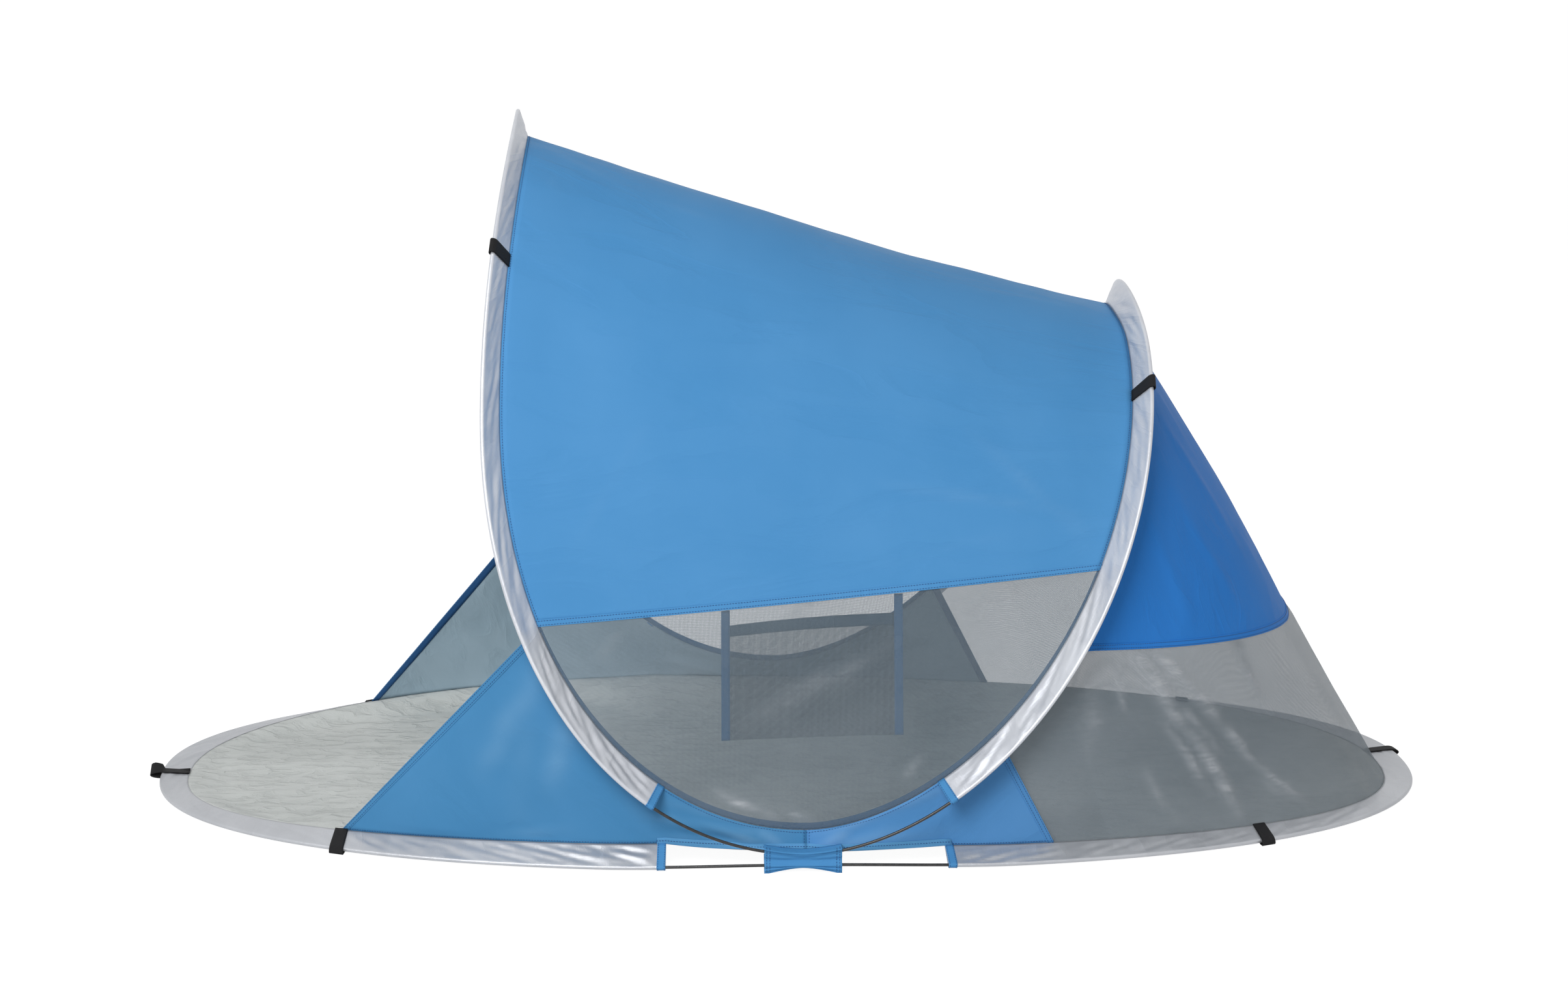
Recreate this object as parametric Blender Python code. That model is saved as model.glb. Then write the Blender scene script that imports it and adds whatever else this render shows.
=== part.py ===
"""Pop-up beach tent on two sprung rod loops.

One rod loop lies flat round the floor. The other is a saddle: its front half stands up as the entrance
arch and its rear half as the lower rear arch. The loops meet in a cloth sleeve at each side, the waist,
where the front half of the tent folds over onto the rear half. Each rod runs in the outer edge of a flat
silver sleeve, and the panels are sewn to the sleeve's inner edge, the seam line.

X runs from the porch (-X) to the rear (+X), Y from the near side (-Y) to the far side, and Z is up from
the ground. The origin is on the ground, midway between the waist sleeves. Lengths are in metres.
"""

import math
from collections import namedtuple

import bmesh
import bpy
from mathutils import Vector

# Both loops at the waist, measured at the rods' centre lines
WAIST_HALF_WIDTH = 0.603

# Floor loop, measured at the rod's centre line
FLOOR_HALF_LENGTH = 1.094
FLOOR_ROUNDNESS = 2.25
WAIST_LIFT = 0.0068
WAIST_LIFT_REACH = 0.35
WAIST_TILT = math.radians(36)
FRONT_TILT = math.radians(42)
REAR_TILT = math.radians(28)
TILT_POWER = 2.5
WAIST_SEAM_SHARE = 0.62

# Front and rear arches, measured at the rod's centre line
ARCH_WAIST_HEIGHT = 0.031
FRONT_REACH = 0.518
FRONT_BELLY = 0.720
FRONT_APEX_X = 0.467
FRONT_APEX_HEIGHT = 1.163
FRONT_BOW = 2.05
REAR_REACH = 0.582
REAR_BELLY = 0.800
REAR_APEX_X = 0.573
REAR_APEX_HEIGHT = 0.868
REAR_BOW = 1.8

# How the sleeve leans from its rod to the seam line, in shares of its width
LEAN_BACK_SHARE = 0.45
LEAN_IN_SHARE = 0.67
LEAN_UP_SHARE = 0.64
FRONT_APEX_LEAN_SHARES = (0.35, 0.94)
REAR_APEX_LEAN_SHARES = (0.50, 0.84)

# Places along the loops
WAIST_REACH = 0.0625
FLOOR_CUFF_REACH = 0.228
FRONT_ARCH_CUFF_REACH = 0.247
REAR_ARCH_CUFF_REACH = 0.229
WING_BASE_REACH = 0.775
WING_TOP_HEIGHT = 0.388
FLAP_BASE_REACH = 0.413
FLAP_TOP_HEIGHT = 0.200
WALL_HEM_HEIGHT = 0.340
WALL_HEM_DIP = 0.034
DIP_START_HEIGHT = 0.40
DIP_END_HEIGHT = 0.80
WALL_HEM_ROD_HEIGHT = 0.328
ROOF_HEM_ROD_HEIGHT = 0.470

# Rods, cloth and clearances
ROD_RADIUS = 0.0025
CLOTH = 0.0010
SLEEVE_WIDTH = 0.045
SLEEVE_EDGE = 0.0008
WEBBING = 0.0012
WEBBING_WIDTH = 0.025
TAPE = 0.0008
TAPE_WIDTH = 0.012
CUFF_WIDTH = 0.014
FERRULE_WALL = 0.0012
FERRULE_LENGTH = 0.042
POUCH_DEPTH = 0.0198
POUCH_LEAN = 0.0035
POUCH_BEND = 0.0025
GAP = 0.0003
HINGE_GAP = 0.0010
SEAM_GAP = 0.0004
POCKET_GAP = 0.0007
BINDING_SET_BACK = 0.0022
BINDING_GAP = 0.0010
TIP_SET_BACK = 0.0080
FOLD_GAP = 0.0006
BAND_SET_BACK = 0.005
ROOF_SAG = 0.012
HEM_SAG = 0.004
FLOOR_FALL = 0.060
FRONT_TIP_LOOP_SLACK = 0.016
REAR_TIP_LOOP_SLACK = 0.0025
REAR_TIP_LOOP_SHIFT = 0.090
FRONT_TIP_LOOP_HUMP = 0.003
LOOP_GAP = 0.0010
CUFF_GAP = 0.0006
LOOP_SLACK = 0.0003
ARCH_LOOP_SLACK = 0.002
WING_LOOP_REACH = 0.761
WING_LOOP_FRONT = 0.740
REAR_LOOP_REACH = 0.768
FRONT_ARCH_LOOP_DROP = 0.187
REAR_ARCH_LOOP_DROP = 0.121

# Storage pocket inside the near window. Its bottom and mouth rise a little from its front to its rear side.
POCKET_FRONT = -0.137
POCKET_REAR = 0.157
POCKET_BOTTOM = (0.205, 0.212)
POCKET_TOP = (0.387, 0.405)
POCKET_BULGE = 0.016
POCKET_BAND = 0.018
POCKET_TAPE = 0.014

# Lengths nearer than this count as one place
TOUCH = 1e-6

# Sizes that follow from the ones above
TUNNEL = ROD_RADIUS + GAP
SLEEVE_ROUND = TUNNEL + CLOTH
LOOP_OUTSIDE = SLEEVE_ROUND + LOOP_GAP + WEBBING
SIDES = 8
FACET = math.cos(math.pi / SIDES)
ROD_REST = (LOOP_OUTSIDE + LOOP_SLACK) / FACET
FLOOR_SHEET_HEIGHT = CLOTH / 2
HINGE_HEIGHT = ARCH_WAIST_HEIGHT + ROD_RADIUS + HINGE_GAP
PANEL_SET_BACK = SLEEVE_EDGE + FOLD_GAP
FOLDED_SET_BACK = SLEEVE_EDGE + CLOTH / 2 + FOLD_GAP

Arch = namedtuple("Arch", "side reach belly apex_x apex_z waist_z half_width bow lean")
Station = namedtuple("Station", "rod seam along inward across")
FRONT_ARCH = Arch(-1, FRONT_REACH, FRONT_BELLY, FRONT_APEX_X, FRONT_APEX_HEIGHT, ARCH_WAIST_HEIGHT,
                  WAIST_HALF_WIDTH, FRONT_BOW, FRONT_APEX_LEAN_SHARES)
REAR_ARCH = Arch(1, REAR_REACH, REAR_BELLY, REAR_APEX_X, REAR_APEX_HEIGHT, ARCH_WAIST_HEIGHT,
                 WAIST_HALF_WIDTH, REAR_BOW, REAR_APEX_LEAN_SHARES)

# Segments of a half loop's near side, zone by zone, counted from the waist to its apex or tip
FRONT_ARCH_COUNTS = (1, 2, 6, 10)
REAR_ARCH_COUNTS = (1, 2, 2, 1, 2, 10)
FRONT_FLOOR_COUNTS = (1, 2, 5, 1, 9)
REAR_FLOOR_COUNTS = (1, 2, 2, 13)
WING_END = sum(FRONT_ARCH_COUNTS[:3])
FLAP_END = sum(REAR_ARCH_COUNTS[:3])
HEM_START = sum(REAR_ARCH_COUNTS[:4])
ROOF_START = sum(REAR_ARCH_COUNTS[:5])
CUFF_START = sum(FRONT_ARCH_COUNTS[:2])

# Rows of facets across the panels, and columns along the pocket
ROWS = {"roof": 6, "window": 4, "wing": 5, "flap": 3, "gusset": 2, "wall": 3, "pocket": 4, "pouch": 4}
COLUMNS = {"pocket": 6}

# Facets that meet at less than this are shaded as one smooth face
SHARP_ANGLE = math.radians(40)


def clear_scene():
    for obj in list(bpy.data.objects):
        bpy.data.objects.remove(obj, do_unlink=True)


def finish(name, colour, roughness, metallic=0.0):
    material = bpy.data.materials.new(name)
    material.use_nodes = True
    shader = material.node_tree.nodes["Principled BSDF"]
    shader.inputs["Base Color"].default_value = (*colour, 1.0)
    shader.inputs["Roughness"].default_value = roughness
    shader.inputs["Metallic"].default_value = metallic
    material.diffuse_color = (*colour, 1.0)
    return material


def mirrored(point):
    return Vector((point.x, -point.y, point.z))


def mix(first, second, share):
    return first + (second - first) * share


def spread(first, last, count):
    """Evenly spaced values after first, up to and with last."""
    return [mix(first, last, (i + 1) / count) for i in range(count)]


# Curves of the loops

def bow_reach(arch, height):
    """How far from the waist the arch has bowed out at a height."""
    if height <= arch.belly:
        left = 1 - (height - arch.waist_z) / (arch.belly - arch.waist_z)
        return arch.reach * max(0.0, 1 - left ** arch.bow) ** (1 / arch.bow)
    past = (height - arch.belly) / (arch.apex_z - arch.belly)
    return arch.reach - (arch.reach - arch.apex_x) * past * past


def arch_point(arch, angle):
    height = arch.waist_z + (arch.apex_z - arch.waist_z) * math.sin(angle)
    return Vector((arch.side * bow_reach(arch, height), -arch.half_width * math.cos(angle), height))


def arch_angle(arch, height):
    return math.asin((height - arch.waist_z) / (arch.apex_z - arch.waist_z))


def arch_angle_at_reach(arch, reach):
    left = (1 - (reach / arch.reach) ** arch.bow) ** (1 / arch.bow)
    return arch_angle(arch, arch.waist_z + (arch.belly - arch.waist_z) * (1 - left))


def leaning_arch(arch):
    """The like curve that the sleeve leans towards, one sleeve width in from the rod."""
    return arch._replace(
        reach=arch.reach - LEAN_BACK_SHARE * SLEEVE_WIDTH,
        half_width=arch.half_width - LEAN_IN_SHARE * SLEEVE_WIDTH,
        waist_z=arch.waist_z + LEAN_UP_SHARE * SLEEVE_WIDTH,
        apex_x=arch.apex_x - arch.lean[0] * SLEEVE_WIDTH,
        apex_z=arch.apex_z - arch.lean[1] * SLEEVE_WIDTH,
    )


def arch_angles(arch, breaks, counts):
    """Angles of the stations: closer together near the waist, where the rod turns, then even."""
    angles = [0.0]
    for number, (end, count) in enumerate(zip(breaks, counts)):
        if number + 1 < len(breaks):
            roots = spread(math.sqrt(angles[-1]), math.sqrt(end), count)
            angles += [root * root for root in roots]
        else:
            angles += spread(angles[-1], end, count)
    return angles


def floor_angle(reach):
    return math.asin((reach / FLOOR_HALF_LENGTH) ** (FLOOR_ROUNDNESS / 2))


def floor_point(side, angle):
    power = 2 / FLOOR_ROUNDNESS
    x = FLOOR_HALF_LENGTH * math.sin(angle) ** power
    y = WAIST_HALF_WIDTH * max(0.0, math.cos(angle)) ** power
    rise = max(0.0, 1 - (x / WAIST_LIFT_REACH) ** 2) ** 2
    return Vector((side * x, -y, ROD_REST + WAIST_LIFT * rise))


def directions(points):
    """Unit tangents at the points, square to X at the waist and to Y at the apex or tip."""
    found = []
    for i, point in enumerate(points):
        if i == 0:
            found.append(Vector((math.copysign(1, points[-1].x), 0, 0)))
        elif i == len(points) - 1:
            found.append(Vector((0, 1, 0)))
        else:
            before = (point - points[i - 1]).normalized()
            after = (points[i + 1] - point).normalized()
            found.append((before + after).normalized())
    return found


def station(point, along, towards, width):
    inward = (towards - along * towards.dot(along)).normalized()
    return Station(point, point + inward * width, along, inward, along.cross(inward))


def arch_stations(arch, breaks, counts):
    angles = arch_angles(arch, breaks, counts)
    points = [arch_point(arch, angle) for angle in angles]
    points[-1].y = 0.0
    lean = leaning_arch(arch)
    found = []
    for angle, point, along in zip(angles, points, directions(points)):
        found.append(station(point, along, arch_point(lean, angle) - point, SLEEVE_WIDTH))
    return found


def floor_stations(side, breaks, counts):
    angles = [0.0]
    for end, count in zip(breaks, counts):
        angles += spread(angles[-1], end, count)
    points = [floor_point(side, angle) for angle in angles]
    points[-1].y = 0.0
    found = []
    for point, along in zip(points, directions(points)):
        level = Vector((along.x, along.y, 0)).normalized()
        inner = Vector((0, 0, 1)).cross(level) * side
        tilt = mix(WAIST_TILT, FRONT_TILT if side < 0 else REAR_TILT, min(1.0, abs(point.x) / FLOOR_CUFF_REACH))
        tilt *= 1 - abs(point.x / FLOOR_HALF_LENGTH) ** TILT_POWER
        towards = inner * math.cos(tilt) + Vector((0, 0, 1)) * math.sin(tilt)
        bare = max(0.0, 1 - (point.x / FLOOR_CUFF_REACH) ** 2)
        width = SLEEVE_WIDTH * (1 - (1 - WAIST_SEAM_SHARE) * bare)
        found.append(station(point, along, towards, width))
    return found


def mirrored_station(near):
    """The far side's station, with its frame turned so that both sides run the same way round."""
    return Station(mirrored(near.rod), mirrored(near.seam), -mirrored(near.along),
                   mirrored(near.inward), mirrored(near.across))


def whole(near):
    """A half loop's stations from the near waist, over its apex or tip, to the far waist."""
    return near + [mirrored_station(one) for one in reversed(near[:-1])]


# Solids

def place(name, mesh, material, hinge):
    mesh.materials.append(material)
    obj = bpy.data.objects.new(name, mesh)
    bpy.context.scene.collection.objects.link(obj)
    if hinge:
        obj.parent = hinge
        obj.location = -hinge.location
    return obj


def mesh_from(name, points, faces):
    mesh = bpy.data.meshes.new(name)
    mesh.from_pydata([tuple(point) for point in points], [], faces)
    shape = bmesh.new()
    shape.from_mesh(mesh)
    bmesh.ops.recalc_face_normals(shape, faces=shape.faces)
    shape.to_mesh(mesh)
    shape.free()
    mesh.shade_smooth()
    mesh.set_sharp_from_angle(angle=SHARP_ANGLE)
    return mesh


def ring(one, outline):
    """A section's outline at a station, given as pairs: towards the seam, and across the sleeve."""
    return [one.rod + one.inward * u + one.across * v for u, v in outline]


def lofted(name, rings, inner=None):
    """A mesh through closed rings, capped at its ends, or with a bore through inner rings."""
    count = len(rings[0])
    points = [point for each in rings for point in each]
    faces = []
    for row in range(len(rings) - 1):
        for i in range(count):
            j = (i + 1) % count
            faces.append((row * count + i, row * count + j, (row + 1) * count + j, (row + 1) * count + i))
    last = (len(rings) - 1) * count
    if inner is None:
        faces.append(tuple(range(count)))
        faces.append(tuple(last + i for i in range(count)))
        return mesh_from(name, points, faces)
    start = len(points)
    points += [point for each in inner for point in each]
    for row in range(len(rings) - 1):
        for i in range(count):
            j = (i + 1) % count
            a, b = start + row * count, start + (row + 1) * count
            faces.append((a + i, b + i, b + j, a + j))
    for i in range(count):
        j = (i + 1) % count
        faces.append((i, j, start + j, start + i))
        faces.append((last + i, last + j, start + last + j, start + last + i))
    return mesh_from(name, points, faces)


def circle(radius):
    """A regular outline round the rod, with a corner each side of the line to the seam."""
    turn = math.tau / SIDES
    return [(radius * math.cos(turn * (i + 0.5)), radius * math.sin(turn * (i + 0.5))) for i in range(SIDES)]


def sheet(name, rows, thickness, material, hinge=None, tips=()):
    """A cloth panel: the grid's middle surface, with a point beyond each end where tips are given."""
    width = len(rows[0])
    points = [point for row in rows for point in row]
    faces = []
    for r in range(len(rows) - 1):
        a, b = r * width, (r + 1) * width
        faces += [(a + c, a + c + 1, b + c + 1, b + c) for c in range(width - 1)]
        if tips:
            faces += [(len(points), a, b), (a + width - 1, len(points) + 1, b + width - 1)]
    return thickened(name, points + list(tips), faces, thickness, material, hinge)


def tip(corner, rows, column):
    """A panel's pointed end, moved in from the corner where two seams meet."""
    middle = sum((row[column] for row in rows), Vector()) / len(rows)
    return corner + (middle - corner).normalized() * TIP_SET_BACK


def thickened(name, points, faces, thickness, material, hinge=None):
    obj = place(name, mesh_from(name, points, faces), material, hinge)
    solidify = obj.modifiers.new("cloth", "SOLIDIFY")
    solidify.thickness = thickness
    solidify.offset = 0
    return obj


def moved_in(line, next_line, distance):
    """Points moved towards the next row's points."""
    return [a + (b - a).normalized() * distance for a, b in zip(line, next_line)]


def off_seam(stations, line, next_line):
    """A panel's edge moved off the seam line, farther where the panel folds back beside the sleeve."""
    moved = []
    for one, a, b in zip(stations, line, next_line):
        way = (b - a).normalized()
        square = way.cross(one.along).length
        back = -way.dot(one.inward) / square
        if back > 0:
            distance = FOLDED_SET_BACK / math.sqrt(1 - back * back)
        else:
            distance = mix(FOLDED_SET_BACK, PANEL_SET_BACK, min(1.0, -back))
        moved.append(a + way * distance / square)
    return moved


def trimmed(rows, start=0.0, end=0.0):
    """A grid with the two ends of every row moved in."""
    columns = [list(column) for column in zip(*rows)]
    if start:
        columns[0] = moved_in(columns[0], columns[1], start)
    if end:
        columns[-1] = moved_in(columns[-1], columns[-2], end)
    return [list(row) for row in zip(*columns)]


def ruled(top, bottom, count):
    """Rows of points from one line to another."""
    return [[mix(a, b, i / count) for a, b in zip(top, bottom)] for i in range(count + 1)]


# Rods, sleeves and what is on them

def rod(name, stations, material, hinge=None):
    """Half of a rod loop, cut square at the waist."""
    side = math.copysign(1, stations[1].rod.x)
    rings = [ring(one, circle(ROD_RADIUS)) for one in stations]
    for end in (rings[0], rings[-1]):
        for point in end:
            point.x = side * HINGE_GAP / 2
    return place(name, lofted(name, rings), material, hinge)


def sleeve_outline(grow=0.0, end=SLEEVE_WIDTH):
    """Flat sleeve: round over the rod, tapering to the thin seam edge."""
    middle = circle((SLEEVE_ROUND + grow) / FACET)[1:-1]
    near, high = circle(SLEEVE_ROUND / FACET)[1]
    edge = SLEEVE_EDGE + (high - SLEEVE_EDGE) * (SLEEVE_WIDTH - end) / (SLEEVE_WIDTH - near) + grow
    return [(end, edge), *middle, (end, -edge)]


def sleeve(name, stations, material, hinge=None):
    kept = stations[CUFF_START:len(stations) - CUFF_START]
    outer = [ring(one, sleeve_outline()) for one in kept]
    inner = [ring(one, circle(TUNNEL / FACET)) for one in kept]
    return place(name, lofted(name, outer, inner), material, hinge)


def between(stations, distance):
    """The place at a distance along the rod's facets, and the number of the last station passed."""
    run = 0.0
    for number, (a, b) in enumerate(zip(stations, stations[1:])):
        step = (b.rod - a.rod).length
        if distance < run + step - TOUCH or number == len(stations) - 2:
            share = (distance - run) / step
            return Station(*(mix(first, last, share) for first, last in zip(a, b))), number
        run += step


def length_to(stations, index):
    return sum((b.rod - a.rod).length for a, b in zip(stations[:index], stations[1:index + 1]))


def length_where(stations, test):
    """The distance along the rod at which a rising value passes zero."""
    for i, (a, b) in enumerate(zip(stations, stations[1:])):
        low, high = test(a.rod), test(b.rod)
        if low <= 0 < high:
            return length_to(stations, i) + low / (low - high) * (b.rod - a.rod).length


def folded(name, inner, outer, material, hinge=None):
    """A solid from open lines swept beside one another: the inner and outer faces of a fold."""
    count = len(inner[0])
    around = 2 * count
    rings = [out + back[::-1] for out, back in zip(outer, inner)]
    faces = []
    for row in range(0, (len(rings) - 1) * around, around):
        for k in range(around):
            m = (k + 1) % around
            faces.append((row + k, row + m, row + around + m, row + around + k))
    for base in (0, (len(rings) - 1) * around):
        for k in range(count - 1):
            faces.append((base + k, base + k + 1, base + around - 2 - k, base + around - 1 - k))
    return place(name, mesh_from(name, [point for each in rings for point in each], faces), material, hinge)


def band(name, stations, first, last, loose, thickness, material, hinge=None):
    """A strip folded over the sleeve from the seam, round the rod and back.

    Its looseness is given as three lengths: the gap all round, the slack beyond the rod and a hump.
    """
    gap, slack, hump = loose
    start, i = between(stations, first)
    end, j = between(stations, last)
    kept = [start, *stations[i + 1:j + 1], end]

    def outline(grow):
        line = sleeve_outline(gap + grow, SLEEVE_WIDTH - BAND_SET_BACK)
        line = [(u - slack, v) if u < 0 else (u, v) for u, v in line]
        if hump:
            line.insert(-1, (SLEEVE_WIDTH / 2, -SLEEVE_ROUND - hump - grow))
        return line

    inner = [ring(one, outline(0.0)) for one in kept]
    outer = [ring(one, outline(thickness)) for one in kept]
    return folded(name, inner, outer, material, hinge)


def cuffs(name, stations, material, hinge=None):
    """The binding folded over each cut end of a sleeve."""
    total = length_to(stations, len(stations) - 1)
    start = length_to(stations, CUFF_START)
    loose = (CUFF_GAP, 0.0, 0.0)
    band(f"{name}_near", stations, start, start + CUFF_WIDTH, loose, CLOTH, material, hinge)
    band(f"{name}_far", stations, total - start - CUFF_WIDTH, total - start, loose, CLOTH, material, hinge)


def peg_loops(name, stations, middle, slack, material, hinge=None):
    """The near and far peg loops at a distance along the rod from the waist."""
    total = length_to(stations, len(stations) - 1)
    for side, centre in {"near": middle, "far": total - middle}.items():
        band(f"{name}_{side}", stations, centre - WEBBING_WIDTH / 2, centre + WEBBING_WIDTH / 2,
             (LOOP_GAP, slack, 0.0), WEBBING, material, hinge)


def tip_loop(name, stations, shift, slack, hump, material, hinge=None):
    """The loop at a tip of the floor, shifted along the rod towards the far side."""
    middle = length_to(stations, len(stations) - 1) / 2 + shift
    band(name, stations, middle - WEBBING_WIDTH / 2, middle + WEBBING_WIDTH / 2,
         (LOOP_GAP, slack, hump), WEBBING, material, hinge)


def waist_sleeve(name, far, arch, floor, material):
    """Bow-tie pouch sewn to the seam and folded over both rods, deeper at its ends than in the middle."""
    side = -1 if far else 1
    half = ROD_RADIUS + 2 * GAP + (FERRULE_WALL if far else 0.0)
    middle_low = floor[0].rod.z - half

    def face(share, grow):
        reach = abs(share)
        low = mix(middle_low, WEBBING, reach) - grow
        top = mix(arch[0].rod.z, arch[1].rod.z, reach) + half + grow
        seam = mix(floor[0].seam.z, floor[1].seam.z, reach)
        line = [
            (-POUCH_DEPTH - grow, seam - POUCH_BEND),
            (-POUCH_LEAN - grow, low),
            (POUCH_LEAN, low),
            (half + grow, low + POUCH_BEND + grow),
            (half + grow, top - POUCH_BEND),
            (POUCH_BEND, top),
            (-POUCH_DEPTH, max(seam + CLOTH + grow, top)),
        ]
        return [Vector((share * WAIST_REACH, side * (-WAIST_HALF_WIDTH - out), z)) for out, z in line]

    shares = [-1.0] + spread(-1.0, 1.0, ROWS["pouch"])
    inner = [face(share, 0.0) for share in shares]
    outer = [face(share, WEBBING) for share in shares]
    return folded(name, inner, outer, material)


def ferrule(name, stations, material):
    """The tube pressed over the end of a rear rod, in the far waist sleeve."""
    total = length_to(stations, len(stations) - 1)
    ends = [between(stations, total - HINGE_GAP - FERRULE_LENGTH)[0], between(stations, total - HINGE_GAP)[0]]
    outer = [ring(one, circle(ROD_RADIUS + GAP + FERRULE_WALL)) for one in ends]
    inner = [ring(one, circle((ROD_RADIUS + GAP) / FACET)) for one in ends]
    return place(name, lofted(name, outer, inner), material, None)


# Panels

def span(stations, first, last):
    return stations[first:last + 1]


def seams(stations):
    return [one.seam for one in stations]


def flipped(rows, far):
    return [[mirrored(point) for point in row] for row in rows] if far else rows


def roof(front, rear, material):
    """The upper panel from hem to hem, a saddle between the two arches."""
    ahead = span(whole(front), WING_END, 2 * (len(front) - 1) - WING_END)
    behind = span(whole(rear), ROOF_START, 2 * (len(rear) - 1) - ROOF_START)
    rows = ruled(seams(ahead), seams(behind), ROWS["roof"])
    for r, row in enumerate(rows):
        share = r / ROWS["roof"]
        for c, point in enumerate(row):
            across = math.sin(math.pi * c / (len(row) - 1))
            point.z -= 4 * share * (1 - share) * mix(HEM_SAG, ROOF_SAG, across)
    rows[0] = off_seam(ahead, rows[0], rows[1])
    rows[-1] = off_seam(behind, rows[-1], rows[-2])
    return sheet("roof_panel", rows, CLOTH, material)


def window_rulings(front, rear):
    """Lines up the near window: the stations along its lower edge, and the hem points above them."""
    ahead, behind = front[WING_END].seam, rear[ROOF_START].seam
    lower = list(reversed(front[1:WING_END])) + rear[:ROOF_START]
    hem = []
    for one in lower:
        share = (one.seam.x - ahead.x) / (behind.x - ahead.x)
        high = mix(ahead, behind, share)
        high.x = one.seam.x
        high.z -= 4 * share * (1 - share) * HEM_SAG
        hem.append(high)
    return lower, hem


def up_the_window(lower, hem, distance):
    """A line on the window at a distance from its lower edge, measured square to that edge."""
    line = seams(lower)
    moved = []
    for i, (low, high) in enumerate(zip(line, hem)):
        along = (line[min(i + 1, len(line) - 1)] - line[max(i - 1, 0)]).normalized()
        rise = (high - low).normalized()
        moved.append(low + rise * (distance / rise.cross(along).length))
    return moved


def window(name, corners, lower, hem, far, material):
    rows = ruled(hem, up_the_window(lower, hem, BINDING_SET_BACK + TAPE_WIDTH), ROWS["window"])
    rows[0] = moved_in(rows[0], rows[1], PANEL_SET_BACK)
    rows.append(off_seam(lower, seams(lower), hem))
    tips = [tip(corners[0], rows, 0), tip(corners[1], rows, -1)]
    if far:
        tips = [mirrored(point) for point in tips]
    return sheet(name, flipped(rows, far), CLOTH, material, tips=tips)


def window_binding(name, lower, hem, far, material):
    """Dark tape laid on the window's outer face, along its lower edge."""
    first = up_the_window(lower, hem, BINDING_SET_BACK)
    second = up_the_window(lower, hem, BINDING_SET_BACK + TAPE_WIDTH)
    for i in range(len(first)):
        before, after = first[max(i - 1, 0)], first[min(i + 1, len(first) - 1)]
        square = (second[i] - first[i]).cross(after - before).normalized()
        lift = square * math.copysign(CLOTH / 2 + BINDING_GAP + TAPE / 2, -square.y)
        first[i] = first[i] + lift
        second[i] = second[i] + lift
    return sheet(name, flipped([first, second], far), TAPE, material)


def side_panel(name, arch, floor, last, count, far, material, hinge=None):
    """A lower side panel from the waist to a station, between the arch's seam and the floor's."""
    upper, base = span(arch, 1, last), span(floor, 1, last)
    rows = ruled(seams(upper), seams(base), count)
    rows[0] = off_seam(upper, rows[0], rows[1])
    rows[-1] = off_seam(base, rows[-1], rows[-2])
    return sheet(name, flipped(trimmed(rows, SEAM_GAP), far), CLOTH, material, hinge)


def gusset(name, arches, floors, far, material):
    """The short piece over the waist sleeve that creases when the tent folds."""
    upper = [arches[0][1], arches[0][0], arches[1][1]]
    base = [floors[0][1], floors[0][0], floors[1][1]]
    rows = ruled(seams(upper), seams(base), ROWS["gusset"])
    rows[0] = off_seam(upper, rows[0], rows[1])
    rows[-1] = off_seam(base, rows[-1], rows[-2])
    return sheet(name, flipped(trimmed(rows, SEAM_GAP, SEAM_GAP), far), CLOTH, material)


def wall_stations(arch, floor, first):
    """The rear wall's rulings from a station on the near side round to the same one on the far side."""
    last = 2 * (len(arch) - 1) - first
    return span(whole(arch), first, last), span(whole(floor), first, last)


def wall_hem(upper, base):
    """The seam across the rear wall, between its cloth and its mesh."""
    line = []
    for top, foot in zip(seams(upper), seams(base)):
        dip = min(1.0, max(0.0, (top.z - DIP_START_HEIGHT) / (DIP_END_HEIGHT - DIP_START_HEIGHT)))
        height = min(WALL_HEM_HEIGHT, top.z) - WALL_HEM_DIP * dip
        line.append(mix(top, foot, (top.z - height) / (top.z - foot.z)))
    return line


def rear_wall_panel(arch, floor, material):
    upper, base = wall_stations(arch, floor, HEM_START)
    rows = ruled(seams(upper)[1:-1], wall_hem(upper, base)[1:-1], ROWS["wall"])
    rows[0] = off_seam(upper[1:-1], rows[0], rows[1])
    rows[-1] = moved_in(rows[-1], rows[-2], SEAM_GAP)
    tips = [tip(upper[0].seam, rows, 0), tip(upper[-1].seam, rows, -1)]
    return sheet("rear_wall_panel", rows, CLOTH, material, tips=tips)


def rear_wall_mesh(arch, floor, material):
    upper, base = wall_stations(arch, floor, FLAP_END)
    rows = ruled(wall_hem(upper, base), seams(base), ROWS["wall"])
    rows[0] = off_seam(upper, rows[0], rows[1])
    rows[-1] = off_seam(base, rows[-1], rows[-2])
    return sheet("rear_wall_mesh", trimmed(rows, SEAM_GAP, SEAM_GAP), CLOTH, material)


def floor_sheet(name, near, material, hinge=None):
    """Half of the floor: it falls from the seam line to the ground and lies flat inside."""
    stations = whole(near)
    side = math.copysign(1, near[1].rod.x)
    foot = []
    for one in stations:
        level = Vector((one.inward.x, one.inward.y, 0)).normalized()
        low = one.seam + level * FLOOR_FALL
        low.z = FLOOR_SHEET_HEIGHT
        foot.append(low)
    edge = off_seam(stations, seams(stations), foot)
    for line in (edge, foot):
        line[0].x = side * HINGE_GAP / 2
        line[-1].x = side * HINGE_GAP / 2
    count = len(edge)
    faces = [(i, i + 1, count + i + 1, count + i) for i in range(count - 1)]
    faces.append(tuple(count + i for i in range(count)))
    return thickened(name, edge + foot, faces, CLOTH, material, hinge)


# Storage pocket

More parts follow.
